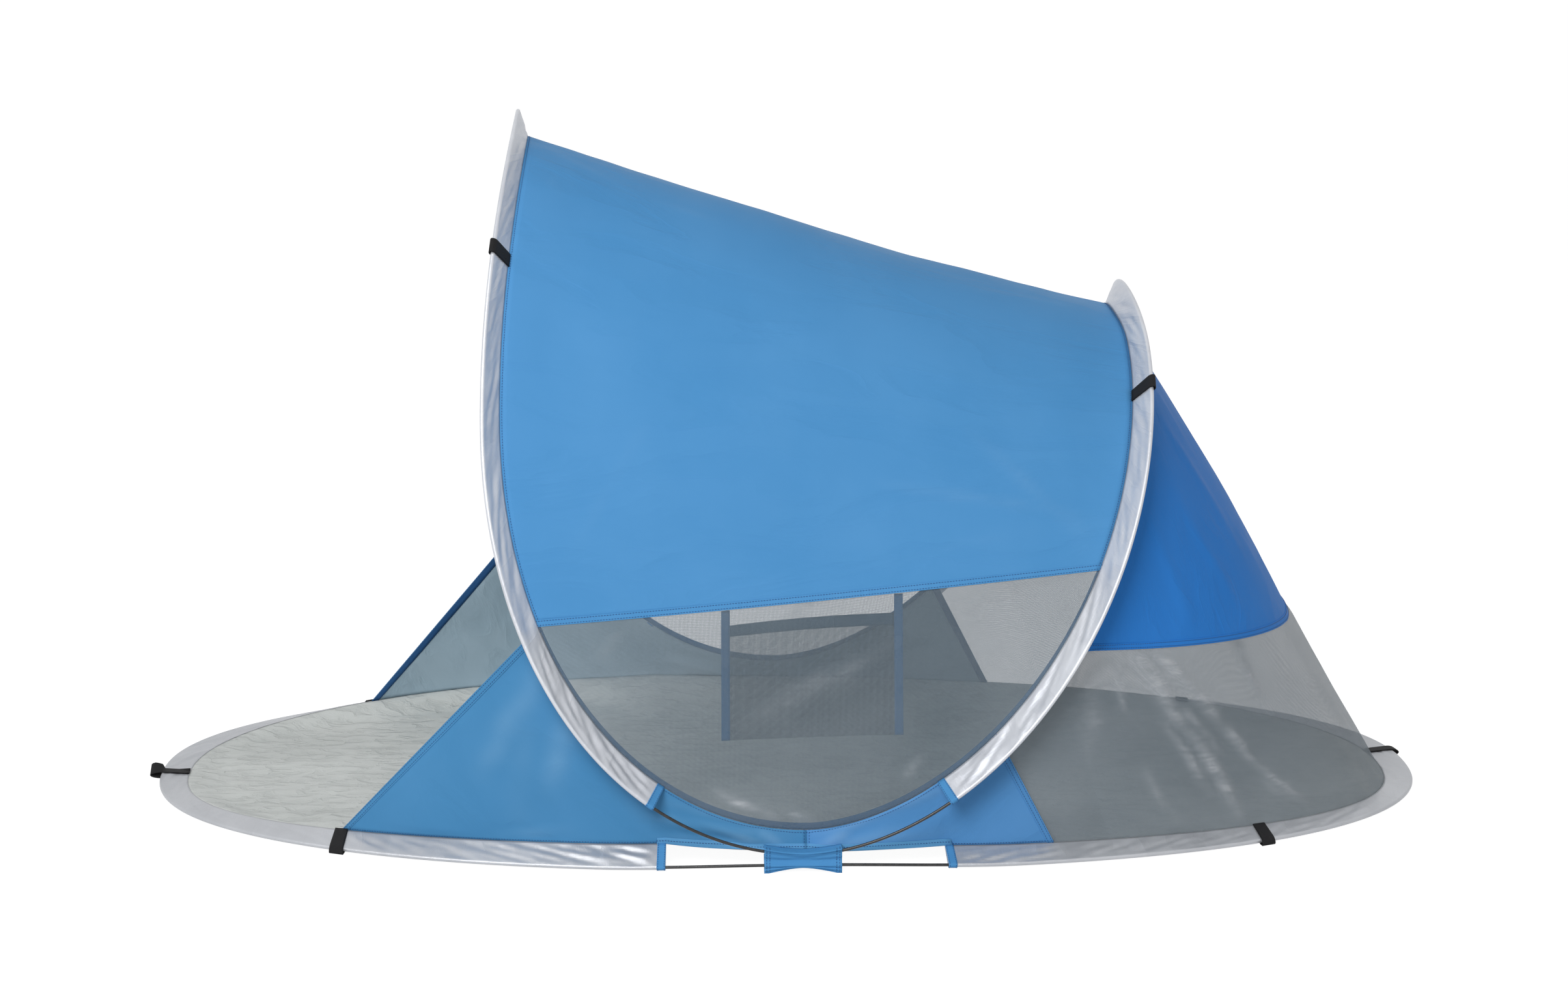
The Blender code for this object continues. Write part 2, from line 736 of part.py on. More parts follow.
def window_point(lower, hem, x, height):
    """A point on the near window's middle surface."""
    lines = list(zip(seams(lower), hem))
    for (low_a, high_a), (low_b, high_b) in zip(lines, lines[1:]):
        if low_a.x <= x <= low_b.x:
            share = (x - low_a.x) / (low_b.x - low_a.x)
            low, high = mix(low_a, low_b, share), mix(high_a, high_b, share)
            return mix(low, high, (height - low.z) / (high.z - low.z))


def pocket_span(x):
    """The share along the pocket at a place, and the heights of its bottom and mouth there."""
    along = (x - POCKET_FRONT) / (POCKET_REAR - POCKET_FRONT)
    return along, mix(*POCKET_BOTTOM, along), mix(*POCKET_TOP, along)


def pocket_rows(lower, hem, xs, shares, offset):
    """Points inside the near window at shares of the pocket's height, standing off by its bulge and an offset."""
    rows = []
    for share in shares:
        row = []
        for x in xs:
            along, bottom, top = pocket_span(x)
            bulge = POCKET_BULGE * min(1.0, share) * math.sin(math.pi * along)
            row.append(window_point(lower, hem, x, mix(bottom, top, share)) + Vector((0, offset + bulge, 0)))
        rows.append(row)
    return rows


def hem_share(hem, x):
    """The share of the pocket's height, above its mouth, at which the roof's hem passes."""
    for a, b in zip(hem, hem[1:]):
        if a.x <= x <= b.x:
            along, bottom, top = pocket_span(x)
            height = mix(a.z, b.z, (x - a.x) / (b.x - a.x)) - PANEL_SET_BACK
            return (height - bottom) / (top - bottom)


def pocket(lower, hem, mesh_material, tape_material):
    """Mesh pocket with a band across its mouth, hung from the hem on two tapes."""
    edges = [POCKET_FRONT + POCKET_TAPE, POCKET_REAR - POCKET_TAPE]
    inner = [edges[0]] + spread(edges[0], edges[1], COLUMNS["pocket"])
    shares = [0.0] + spread(0.0, 1.0, ROWS["pocket"])
    band_share = POCKET_BAND / (POCKET_TOP[0] - POCKET_BOTTOM[0])
    stand_off = CLOTH + POCKET_GAP
    rows = pocket_rows(lower, hem, [POCKET_FRONT, *inner, POCKET_REAR], shares, stand_off)
    sheet("pocket_mesh", rows, CLOTH, mesh_material)
    stand_off += CLOTH / 2 + POCKET_GAP + TAPE / 2
    rows = pocket_rows(lower, hem, inner, [1.0 - band_share, 1.0], stand_off)
    sheet("pocket_band", trimmed(rows, SEAM_GAP, SEAM_GAP), TAPE, tape_material)
    for side, xs in {"front": (POCKET_FRONT, edges[0]), "rear": (edges[1], POCKET_REAR)}.items():
        rows = pocket_rows(lower, hem, xs, shares + [min(hem_share(hem, x) for x in xs)], stand_off)
        sheet(f"pocket_tape_{side}", rows, TAPE, tape_material)


def build():
    clear_scene()
    blue = finish("light blue cloth", (0.10, 0.30, 0.65), 0.55)
    deep_blue = finish("deep blue cloth", (0.05, 0.17, 0.47), 0.55)
    silver = finish("silver coated cloth", (0.62, 0.63, 0.68), 0.40, 0.2)
    grey_mesh = finish("grey mesh", (0.22, 0.24, 0.27), 0.80)
    ground = finish("grey floor cloth", (0.32, 0.35, 0.35), 0.60)
    navy = finish("navy tape", (0.02, 0.06, 0.20), 0.65)
    black = finish("black webbing", (0.01, 0.01, 0.01), 0.75)
    rod_black = finish("black fibreglass", (0.02, 0.02, 0.02), 0.35)
    steel = finish("bright steel", (0.55, 0.55, 0.56), 0.30, 1.0)

    hinge = bpy.data.objects.new("front_half_hinge", None)
    hinge.location = (0, 0, HINGE_HEIGHT)
    bpy.context.scene.collection.objects.link(hinge)
    bpy.context.view_layer.update()

    quarter = math.pi / 2
    front_arch = arch_stations(FRONT_ARCH, [
        arch_angle_at_reach(FRONT_ARCH, WAIST_REACH), arch_angle_at_reach(FRONT_ARCH, FRONT_ARCH_CUFF_REACH),
        arch_angle(FRONT_ARCH, WING_TOP_HEIGHT), quarter], FRONT_ARCH_COUNTS)
    rear_arch = arch_stations(REAR_ARCH, [
        arch_angle_at_reach(REAR_ARCH, WAIST_REACH), arch_angle_at_reach(REAR_ARCH, REAR_ARCH_CUFF_REACH),
        arch_angle(REAR_ARCH, FLAP_TOP_HEIGHT), arch_angle(REAR_ARCH, WALL_HEM_ROD_HEIGHT),
        arch_angle(REAR_ARCH, ROOF_HEM_ROD_HEIGHT), quarter], REAR_ARCH_COUNTS)
    front_floor = floor_stations(-1, [
        floor_angle(WAIST_REACH), floor_angle(FLOOR_CUFF_REACH), floor_angle(WING_LOOP_FRONT),
        floor_angle(WING_BASE_REACH), quarter], FRONT_FLOOR_COUNTS)
    rear_floor = floor_stations(1, [
        floor_angle(WAIST_REACH), floor_angle(FLOOR_CUFF_REACH), floor_angle(FLAP_BASE_REACH), quarter],
        REAR_FLOOR_COUNTS)

    halves = {"floor_front": (front_floor, hinge), "arch_front": (front_arch, hinge),
              "floor_rear": (rear_floor, None), "arch_rear": (rear_arch, None)}
    for name, (near, carrier) in halves.items():
        path = whole(near)
        rod(f"{name}_rod", path, rod_black, carrier)
        sleeve(f"{name}_sleeve", path, silver, carrier)
        cuffs(f"{name}_cuff", path, blue, carrier)
    ferrule("floor_rod_ferrule", whole(rear_floor), steel)
    ferrule("arch_rod_ferrule", whole(rear_arch), steel)

    peg_loops("floor_front_loop", whole(front_floor),
              length_where(front_floor, lambda at: -at.x - WING_LOOP_REACH), LOOP_SLACK, black, hinge)
    peg_loops("floor_rear_loop", whole(rear_floor),
              length_where(rear_floor, lambda at: at.x - REAR_LOOP_REACH), LOOP_SLACK, black)
    peg_loops("arch_front_loop", whole(front_arch),
              length_where(front_arch, lambda at: at.z - FRONT_APEX_HEIGHT + FRONT_ARCH_LOOP_DROP),
              ARCH_LOOP_SLACK, black, hinge)
    peg_loops("arch_rear_loop", whole(rear_arch),
              length_where(rear_arch, lambda at: at.z - REAR_APEX_HEIGHT + REAR_ARCH_LOOP_DROP),
              ARCH_LOOP_SLACK, black)
    tip_loop("front_tip_loop", whole(front_floor), 0.0, FRONT_TIP_LOOP_SLACK, FRONT_TIP_LOOP_HUMP, black, hinge)
    tip_loop("rear_tip_loop", whole(rear_floor), REAR_TIP_LOOP_SHIFT, REAR_TIP_LOOP_SLACK, 0.0, black)

    roof(front_arch, rear_arch, blue)
    lower, hem = window_rulings(front_arch, rear_arch)
    corners = (front_arch[WING_END].seam, rear_arch[ROOF_START].seam)
    for side, far in {"near": False, "far": True}.items():
        window(f"window_{side}", corners, lower, hem, far, grey_mesh)
        window_binding(f"window_binding_{side}", lower, hem, far, navy)
        side_panel(f"wing_{side}", front_arch, front_floor, WING_END, ROWS["wing"], far, blue, hinge)
        side_panel(f"rear_flap_{side}", rear_arch, rear_floor, FLAP_END, ROWS["flap"], far, blue)
        gusset(f"waist_gusset_{side}", (front_arch, rear_arch), (front_floor, rear_floor), far, blue)
        waist_sleeve(f"waist_sleeve_{side}", far, rear_arch, rear_floor, blue)
    rear_wall_panel(rear_arch, rear_floor, deep_blue)
    rear_wall_mesh(rear_arch, rear_floor, grey_mesh)
    floor_sheet("floor_sheet_front", front_floor, ground, hinge)
    floor_sheet("floor_sheet_rear", rear_floor, ground)
    pocket(lower, hem, grey_mesh, navy)


build()
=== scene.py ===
"""Looks for the pop-up beach tent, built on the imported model.

X runs from the porch (-X) to the rear, Y from the near side (-Y) to the far side, and Z is up from the
ground. Lengths are in metres.
"""

import math
from collections import namedtuple

import bmesh
import bpy
from mathutils import Matrix, Vector, noise


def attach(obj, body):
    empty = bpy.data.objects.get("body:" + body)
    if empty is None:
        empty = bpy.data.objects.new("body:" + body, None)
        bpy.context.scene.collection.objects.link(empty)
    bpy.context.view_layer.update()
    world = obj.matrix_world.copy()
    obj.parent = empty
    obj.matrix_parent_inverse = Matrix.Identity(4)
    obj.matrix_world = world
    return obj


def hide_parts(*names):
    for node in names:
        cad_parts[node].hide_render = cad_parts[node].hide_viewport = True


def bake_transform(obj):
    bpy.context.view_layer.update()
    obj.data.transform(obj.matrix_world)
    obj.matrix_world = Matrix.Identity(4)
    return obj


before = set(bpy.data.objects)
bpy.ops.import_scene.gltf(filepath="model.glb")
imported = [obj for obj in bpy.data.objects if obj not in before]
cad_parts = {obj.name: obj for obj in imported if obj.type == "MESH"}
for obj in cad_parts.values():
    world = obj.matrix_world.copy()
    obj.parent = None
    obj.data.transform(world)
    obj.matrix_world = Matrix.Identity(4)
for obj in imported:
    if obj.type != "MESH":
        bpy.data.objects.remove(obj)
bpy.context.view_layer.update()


# Camera
# It stands 6.5 m off on the near side, a little above the roof, and looks slightly down through a long lens.
# The place, turn and lens were fitted to the rods, hems and loops in the photograph.

AZIMUTH = math.radians(2.874)
ELEVATION = math.radians(11.296)
ROLL = math.radians(0.331)
CAMERA_DISTANCE, LENS, SENSOR_WIDTH = 6.526, 86.23, 36.0
AIM = Vector((-0.011, 0.0, 0.501))


def add_object(name, data):
    made = bpy.data.objects.new(name, data)
    bpy.context.scene.collection.objects.link(made)
    return made


ahead = Vector((math.sin(AZIMUTH) * math.cos(ELEVATION), math.cos(AZIMUTH) * math.cos(ELEVATION),
                -math.sin(ELEVATION)))
level_right = Vector((math.cos(AZIMUTH), -math.sin(AZIMUTH), 0))
level_up = level_right.cross(ahead)
right = level_right * math.cos(ROLL) + level_up * math.sin(ROLL)
up = level_up * math.cos(ROLL) - level_right * math.sin(ROLL)
turned = Matrix((right, up, -ahead)).transposed().to_4x4()
camera = add_object("camera", bpy.data.cameras.new("camera"))
camera.data.sensor_width = SENSOR_WIDTH
camera.data.lens = LENS
camera.data.clip_end = 100.0
camera.matrix_world = Matrix.Translation(AIM - ahead * CAMERA_DISTANCE) @ turned
bpy.context.scene.camera = camera


# Studio
# A white floor under a white surround, as in a catalogue picture. A large soft lamp stands on the camera's
# side, so that cloth which faces it is brightest and the top of the roof is a shade darker.

class Wire:
    """An output socket in a node tree. Arithmetic on it adds Math nodes."""

    def __init__(self, tree, socket=None):
        self.tree = tree
        self.socket = socket

    def node(self, kind, settings=None, inputs=None, output=0):
        """Adds a node: its settings are set first, then the values or wires of its sockets."""
        made = self.tree.nodes.new(kind)
        for name, value in (settings or {}).items():
            setattr(made, name, value)
        for name, value in (inputs or {}).items():
            self.feed(made.inputs[name], value)
        return Wire(self.tree, made.outputs[output] if made.outputs else None)

    def feed(self, socket, value):
        """Links a wire to a socket, or sets the socket's own value."""
        if isinstance(value, Wire):
            self.tree.links.new(value.socket, socket)
        else:
            socket.default_value = (*value, 1.0) if socket.type == "RGBA" else value

    def maths(self, operation, *values):
        return self.node("ShaderNodeMath", {"operation": operation}, dict(enumerate(values)))

    def __add__(self, other):
        return self.maths("ADD", self, other)

    def __sub__(self, other):
        return self.maths("SUBTRACT", self, other)

    def __rsub__(self, other):
        return self.maths("SUBTRACT", other, self)

    def __mul__(self, other):
        return self.maths("MULTIPLY", self, other)

    def __pow__(self, other):
        return self.maths("POWER", self, other)

    def __abs__(self):
        return self.maths("ABSOLUTE", self)

    def sine(self):
        return self.maths("SINE", self)

    def at_most(self, other):
        return self.maths("MINIMUM", self, other)


def start_material(name):
    material = bpy.data.materials.new(name)
    material.use_nodes = True
    material.node_tree.nodes.clear()
    return material, Wire(material.node_tree)


def between_values(wire, low, high, to_low=0.0, to_high=1.0):
    """A wire's values from low to high, eased onto another range."""
    return wire.node("ShaderNodeMapRange", {"interpolation_type": "SMOOTHSTEP"},
                     {"Value": wire, "From Min": low, "From Max": high, "To Min": to_low, "To Max": to_high})


def mixed(wire, first, second):
    """Two colours, or wires that carry colours, mixed by a wire's value."""
    made = wire.tree.nodes.new("ShaderNodeMix")
    made.data_type = "RGBA"
    wire.feed(made.inputs["Factor"], wire)
    for name, value in (("A", first), ("B", second)):
        wire.feed(next(one for one in made.inputs if one.name == name and one.type == "RGBA"), value)
    return Wire(wire.tree, next(one for one in made.outputs if one.type == "RGBA"))


def shown_in_picture(tree):
    """1 for rays from the camera, from a shine or through a clear surface, and 0 for rays that only light."""
    direct, shine, clear = (tree.node("ShaderNodeLightPath", output=f"Is {kind} Ray")
                            for kind in ("Camera", "Glossy", "Transmission"))
    return (direct + shine + clear).at_most(1.0)


WHITE = (1.0, 1.0, 1.0)
FLOOR_GREY, FLOOR_GLOW, GLOW_SHARE = (0.80, 0.80, 0.80), 1.31, 0.72
floor_white, tree = start_material("white studio floor")
plain = tree.node("ShaderNodeBsdfDiffuse", inputs={"Color": FLOOR_GREY})
glow = tree.node("ShaderNodeEmission", inputs={"Color": WHITE, "Strength": FLOOR_GLOW})
seen = tree.node("ShaderNodeMixShader", inputs={0: shown_in_picture(tree) * GLOW_SHARE, 1: plain, 2: glow})
tree.node("ShaderNodeOutputMaterial", inputs={"Surface": seen})

FLOOR_REACH = 30.0
floor_mesh = bpy.data.meshes.new("studio_floor")
floor_mesh.from_pydata([(-FLOOR_REACH, -FLOOR_REACH, 0), (FLOOR_REACH, -FLOOR_REACH, 0),
                        (FLOOR_REACH, FLOOR_REACH, 0), (-FLOOR_REACH, FLOOR_REACH, 0)], [], [(0, 1, 2, 3)])
floor_mesh.materials.append(floor_white)
studio_floor = add_object("studio_floor", floor_mesh)

world = bpy.data.worlds.new("white surround")
bpy.context.scene.world = world
world.use_nodes = True
world.node_tree.nodes.clear()
FILL = 0.34
tree = Wire(world.node_tree)
fill = tree.node("ShaderNodeBackground", inputs={"Color": WHITE, "Strength": FILL})
backdrop = tree.node("ShaderNodeBackground", inputs={"Color": WHITE, "Strength": 1.0})
seen = tree.node("ShaderNodeMixShader", inputs={0: shown_in_picture(tree), 1: fill, 2: backdrop})
tree.node("ShaderNodeOutputWorld", inputs={"Surface": seen})

LAMP_PLACE, LAMP_SIZE, LAMP_POWER = Vector((-2.0, -4.9, 4.2)), 3.0, 290
lamp = add_object("front_lamp", bpy.data.lights.new("front_lamp", "AREA"))
lamp.data.size = LAMP_SIZE
lamp.data.energy = LAMP_POWER
lamp.location = LAMP_PLACE
lamp.rotation_mode = "QUATERNION"
lamp.rotation_quaternion = (AIM - LAMP_PLACE).to_track_quat("-Z", "Y")
bpy.context.scene.view_settings.view_transform = "Standard"


# Rod loops
# Two sprung fibreglass rods, each joined into a ring. One lies flat round the floor, and the other stands as a
# saddle, its front half the entrance arch and its rear half the lower arch. They show bare beside the waist.

WAIST_HALF_WIDTH = 0.603
FLOOR_HALF_LENGTH = 1.094
FLOOR_ROUNDNESS = 2.25
FLOOR_ROD_HEIGHT = 0.0068
WAIST_LIFT = 0.0068
WAIST_LIFT_REACH = 0.35
ROD_RADIUS = 0.0025
SLEEVE_WIDTH = 0.045
WAIST_SEAM_SHARE = 0.62
WAIST_TILT, FRONT_TILT, REAR_TILT = math.radians(36), math.radians(42), math.radians(28)
TILT_POWER = 2.5
LEAN_BACK, LEAN_IN, LEAN_UP = 0.45, 0.67, 0.64
WAIST_REACH = 0.0625
FLOOR_CUFF_REACH = 0.228

Arch = namedtuple("Arch", "side reach belly apex_x apex_z waist_z half_width bow lean")
Station = namedtuple("Station", "rod seam along inward across")
FRONT_ARCH = Arch(-1, 0.518, 0.720, 0.467, 1.163, 0.031, WAIST_HALF_WIDTH, 2.05, (0.35, 0.94))
REAR_ARCH = Arch(1, 0.582, 0.800, 0.573, 0.868, 0.031, WAIST_HALF_WIDTH, 1.8, (0.50, 0.84))

# Zones of a half loop's near side from the waist to its apex or tip: where each ends, as a reach from the
# waist or a height, and its steps. They end at the waist sleeve, the cuff, and where a panel or hem ends.
FINE = 8
QUARTER = math.pi / 2
FRONT_ARCH_REACHES, FRONT_ARCH_HEIGHTS = (WAIST_REACH, 0.247), (0.388,)
REAR_ARCH_REACHES, REAR_ARCH_HEIGHTS = (WAIST_REACH, 0.229), (0.200, 0.328, 0.470)
FRONT_FLOOR_REACHES = (WAIST_REACH, FLOOR_CUFF_REACH, 0.740, 0.775)
REAR_FLOOR_REACHES = (WAIST_REACH, FLOOR_CUFF_REACH, 0.413)
FRONT_ARCH_STEPS = [FINE * n for n in (1, 2, 6, 10)]
REAR_ARCH_STEPS = [FINE * n for n in (1, 2, 2, 1, 2, 10)]
FRONT_FLOOR_STEPS = [FINE * n for n in (1, 2, 5, 1, 9)]
REAR_FLOOR_STEPS = [FINE * n for n in (1, 2, 2, 13)]


def mix(first, second, share):
    return first + (second - first) * share


def eased(value):
    value = max(0.0, min(1.0, value))
    return value * value * (3 - 2 * value)


def mirrored(point):
    return Vector((point.x, -point.y, point.z))


def arch_point(arch, angle):
    height = arch.waist_z + (arch.apex_z - arch.waist_z) * math.sin(angle)
    if height <= arch.belly:
        left = 1 - (height - arch.waist_z) / (arch.belly - arch.waist_z)
        reach = arch.reach * max(0.0, 1 - left ** arch.bow) ** (1 / arch.bow)
    else:
        past = (height - arch.belly) / (arch.apex_z - arch.belly)
        reach = arch.reach - (arch.reach - arch.apex_x) * past * past
    return Vector((arch.side * reach, -arch.half_width * math.cos(angle), height))


def angle_at_height(arch, height):
    return math.asin((height - arch.waist_z) / (arch.apex_z - arch.waist_z))


def angle_at_reach(arch, reach):
    left = (1 - (reach / arch.reach) ** arch.bow) ** (1 / arch.bow)
    return angle_at_height(arch, arch.waist_z + (arch.belly - arch.waist_z) * (1 - left))


def floor_angle(reach):
    return math.asin((reach / FLOOR_HALF_LENGTH) ** (FLOOR_ROUNDNESS / 2))


def floor_point(side, angle):
    power = 2 / FLOOR_ROUNDNESS
    x = FLOOR_HALF_LENGTH * math.sin(angle) ** power
    y = WAIST_HALF_WIDTH * max(0.0, math.cos(angle)) ** power
    rise = max(0.0, 1 - (x / WAIST_LIFT_REACH) ** 2) ** 2
    return Vector((side * x, -y, FLOOR_ROD_HEIGHT + WAIST_LIFT * rise))


def zoned(breaks, counts, rooted):
    """Angles zone by zone. Rooted ones stand closer together near the waist, where the arch turns."""
    angles = [0.0]
    for number, (end, count) in enumerate(zip(breaks, counts)):
        start = angles[-1]
        for i in range(1, count + 1):
            if rooted and number + 1 < len(breaks):
                angles.append(mix(math.sqrt(start), math.sqrt(end), i / count) ** 2)
            else:
                angles.append(mix(start, end, i / count))
    return angles


def directions(points):
    """Unit tangents, square to X at the waist and to Y at the apex or tip."""
    found = [Vector((math.copysign(1, points[-1].x), 0, 0))]
    for before, point, after in zip(points, points[1:], points[2:]):
        found.append(((point - before).normalized() + (after - point).normalized()).normalized())
    return found + [Vector((0, 1, 0))]


def station(point, along, towards, width):
    inward = (towards - along * towards.dot(along)).normalized()
    return Station(point, point + inward * width, along, inward, along.cross(inward))


def arch_stations(arch, reaches, heights, counts):
    """Places along a half arch. Its sleeve leans towards a like curve one sleeve width further in."""
    breaks = [angle_at_reach(arch, reach) for reach in reaches]
    breaks += [angle_at_height(arch, height) for height in heights]
    angles = zoned([*breaks, QUARTER], counts, True)
    points = [arch_point(arch, angle) for angle in angles]
    lean = arch._replace(
        reach=arch.reach - LEAN_BACK * SLEEVE_WIDTH, half_width=arch.half_width - LEAN_IN * SLEEVE_WIDTH,
        waist_z=arch.waist_z + LEAN_UP * SLEEVE_WIDTH, apex_x=arch.apex_x - arch.lean[0] * SLEEVE_WIDTH,
        apex_z=arch.apex_z - arch.lean[1] * SLEEVE_WIDTH)
    return [station(point, along, arch_point(lean, angle) - point, SLEEVE_WIDTH)
            for angle, point, along in zip(angles, points, directions(points))]


def floor_stations(side, reaches, counts):
    """Places along half of the floor loop. Its sleeve stands up at the waist and lies flat at the tip."""
    breaks = [floor_angle(reach) for reach in reaches]
    points = [floor_point(side, angle) for angle in zoned([*breaks, QUARTER], counts, False)]
    end_tilt = FRONT_TILT if side < 0 else REAR_TILT
    found = []
    for point, along in zip(points, directions(points)):
        level = Vector((along.x, along.y, 0)).normalized()
        inner = Vector((0, 0, 1)).cross(level) * side
        tilt = mix(WAIST_TILT, end_tilt, min(1.0, abs(point.x) / FLOOR_CUFF_REACH))
        tilt *= 1 - abs(point.x / FLOOR_HALF_LENGTH) ** TILT_POWER
        bare = max(0.0, 1 - (point.x / FLOOR_CUFF_REACH) ** 2)
        width = SLEEVE_WIDTH * (1 - (1 - WAIST_SEAM_SHARE) * bare)
        found.append(station(point, along, inner * math.cos(tilt) + Vector((0, 0, math.sin(tilt))), width))
    return found


def whole(near):
    """A half loop's stations from the near waist, over its apex or tip, to the far waist."""
    far = [Station(mirrored(one.rod), mirrored(one.seam), -mirrored(one.along), mirrored(one.inward),
                   mirrored(one.across)) for one in reversed(near[:-1])]
    return near + far


front_arch = arch_stations(FRONT_ARCH, FRONT_ARCH_REACHES, FRONT_ARCH_HEIGHTS, FRONT_ARCH_STEPS)
rear_arch = arch_stations(REAR_ARCH, REAR_ARCH_REACHES, REAR_ARCH_HEIGHTS, REAR_ARCH_STEPS)
front_floor = floor_stations(-1, FRONT_FLOOR_REACHES, FRONT_FLOOR_STEPS)
rear_floor = floor_stations(1, REAR_FLOOR_REACHES, REAR_FLOOR_STEPS)


def fit(piece, body, slot=None, *nodes):
    """The piece moves with a half of the tent, or is left where it stands across the fold, and hides the solids of
    the model that it stands for.
    """
    if body == "fold":
        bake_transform(piece)
    else:
        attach(piece, body)
    if nodes:
        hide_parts(*nodes)


def start_tree(name, inputs):
    """A geometry tree that grows a piece along the lines of a mesh, from named inputs and a material."""
    group = bpy.data.node_groups.new(name, "GeometryNodeTree")
    group.interface.new_socket("Geometry", in_out="OUTPUT", socket_type="NodeSocketGeometry")
    for label, kind in {"Geometry": "Geometry", **inputs, "Material": "Material"}.items():
        group.interface.new_socket(label, in_out="INPUT", socket_type=f"NodeSocket{kind}")
    entry = group.nodes.new("NodeGroupInput")
    tree, given = Wire(group), {one.name: Wire(group, one) for one in entry.outputs if one.name}
    return group, tree, tree.node("GeometryNodeMeshToCurve", inputs={"Mesh": given["Geometry"]}), given


def end_tree(tree, geometry, given):
    real = tree.node("GeometryNodeRealizeInstances", inputs={"Geometry": geometry})
    coated = tree.node("GeometryNodeSetMaterial", inputs={"Geometry": real, "Material": given["Material"]})
    tree.node("NodeGroupOutput", inputs={"Geometry": coated})


def grown(name, lines, closed, group, values):
    """A mesh piece that a geometry tree grows along lines of points."""
    points, edges = [], []
    for line in lines:
        first = len(points)
        points += line
        edges += [(first + i, first + i + 1) for i in range(len(line) - 1)]
        if closed:
            edges.append((len(points) - 1, first))
    path = bpy.data.meshes.new(f"{name}_path")
    path.from_pydata([tuple(point) for point in points], edges, [])
    carrier = add_object(f"{name}_path", path)
    modifier = carrier.modifiers.new("grow", "NODES")
    modifier.node_group = group
    for socket in group.interface.items_tree:
        if socket.in_out == "INPUT" and socket.name in values:
            modifier[socket.identifier] = values[socket.name]
    bpy.context.view_layer.update()
    evaluated = carrier.evaluated_get(bpy.context.evaluated_depsgraph_get())
    mesh = bpy.data.meshes.new_from_object(evaluated)
    mesh.name = name
    bpy.data.objects.remove(carrier, do_unlink=True)
    return add_object(name, mesh)


def solid_noise(tree, scale, detail):
    """Cloud noise by the place in the tent."""
    return tree.node("ShaderNodeTexNoise", inputs={"Vector": tree.node("ShaderNodeTexCoord", output="Object"),
                                                   "Scale": scale, "Detail": detail})


def finish_material(tree, inputs, height, distance=1.0):
    """Ends a material with a surface and its fine relief."""
    bump = tree.node("ShaderNodeBump", inputs={"Height": height, "Distance": distance, "Strength": 1.0})
    shader = tree.node("ShaderNodeBsdfPrincipled", inputs={**inputs, "Normal": bump})
    tree.node("ShaderNodeOutputMaterial", inputs={"Surface": shader})


rod_tree, tree, line, given = start_tree("round rod along a line", {"Radius": "Float", "Sides": "Int"})
section = tree.node("GeometryNodeCurvePrimitiveCircle",
                    inputs={"Resolution": given["Sides"], "Radius": given["Radius"]})
tube = tree.node("GeometryNodeCurveToMesh", inputs={"Curve": line, "Profile Curve": section})
end_tree(tree, tree.node("GeometryNodeSetShadeSmooth", inputs={"Geometry": tube}), given)

black_rod, tree = start_material("black fibreglass")
streaks = solid_noise(tree, 160.0, 4.0)
finish_material(tree, {
    "Base Color": mixed(between_values(streaks, 0.35, 0.75), (0.007, 0.007, 0.008), (0.020, 0.019, 0.019)),
    "Roughness": between_values(streaks, 0.3, 0.8, 0.26, 0.44),
    "Coat Weight": 0.10, "Coat Roughness": 0.20}, solid_noise(tree, 900.0, 2.0), 0.00004)

for name, front, rear in (("floor", front_floor, rear_floor), ("arch", front_arch, rear_arch)):
    ring = [one.rod for one in whole(front)] + [one.rod for one in reversed(whole(rear))][1:-1]
    rod = grown(f"{name}_rod_loop", [ring], True, rod_tree,
                {"Radius": ROD_RADIUS, "Sides": 14, "Material": black_rod})
    fit(rod, "fold", "rod", f"{name}_front_rod", f"{name}_rear_rod")


# Rod ferrules
# A short bright steel tube is pressed over the joint of each rod loop, inside the far waist sleeve.

drawn_steel, tree = start_material("drawn steel tube")
place_on_tube = tree.node("ShaderNodeTexCoord", output="Object")
stretched = tree.node("ShaderNodeMapping", inputs={"Vector": place_on_tube, "Scale": (60.0, 2400.0, 2400.0)})
lines = tree.node("ShaderNodeTexNoise", inputs={"Vector": stretched, "Scale": 1.0, "Detail": 3.0})
finish_material(tree, {
    "Base Color": mixed(lines, (0.42, 0.42, 0.43), (0.62, 0.62, 0.63)), "Metallic": 1.0,
    "Roughness": between_values(lines, 0.2, 0.8, 0.22, 0.40)}, lines, 0.00002)
for name in ("floor_rod_ferrule", "arch_rod_ferrule"):
    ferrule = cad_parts[name]
    ferrule.data.materials.clear()
    ferrule.data.materials.append(drawn_steel)


# Silver sleeves
# Each half loop's rod runs in a strip of silver-coated polyester, folded over it and sewn shut at the seam
# line. The strip is slack between rod and seam, so it wrinkles, most of all towards its cut ends.

CLOTH = 0.0006
SLEEVE_ROUND = 0.0034
SLEEVE_EDGE = 0.0005
SLEEVE_STEP = 0.005
TURN_START = math.radians(80)
CUFF_START = sum(FRONT_ARCH_STEPS[:2])
TENT_MIDDLE = Vector((0.0, 0.0, 0.30))
GATHER_REACH, CALM_REACH = 0.20, 0.03
ASLANT, MORE_ASLANT_AT_ENDS = 0.0020, 0.0034
PLEATS, MORE_PLEATS_AT_ENDS = 0.0006, 0.0016


def waves(tree, uv, turn):
    """Sine waves along and across the cloth, whose map is in metres. The turn is in radians to a metre."""
    return [(tree.node("ShaderNodeSeparateXYZ", inputs={"Vector": uv}, output=axis) * turn).sine()
            for axis in "XY"]


def weave(tree, uv, pitch):
    """Over-and-under of a plain weave, from -1 to 1."""
    along, across = waves(tree, uv, math.tau / pitch)
    return along * across


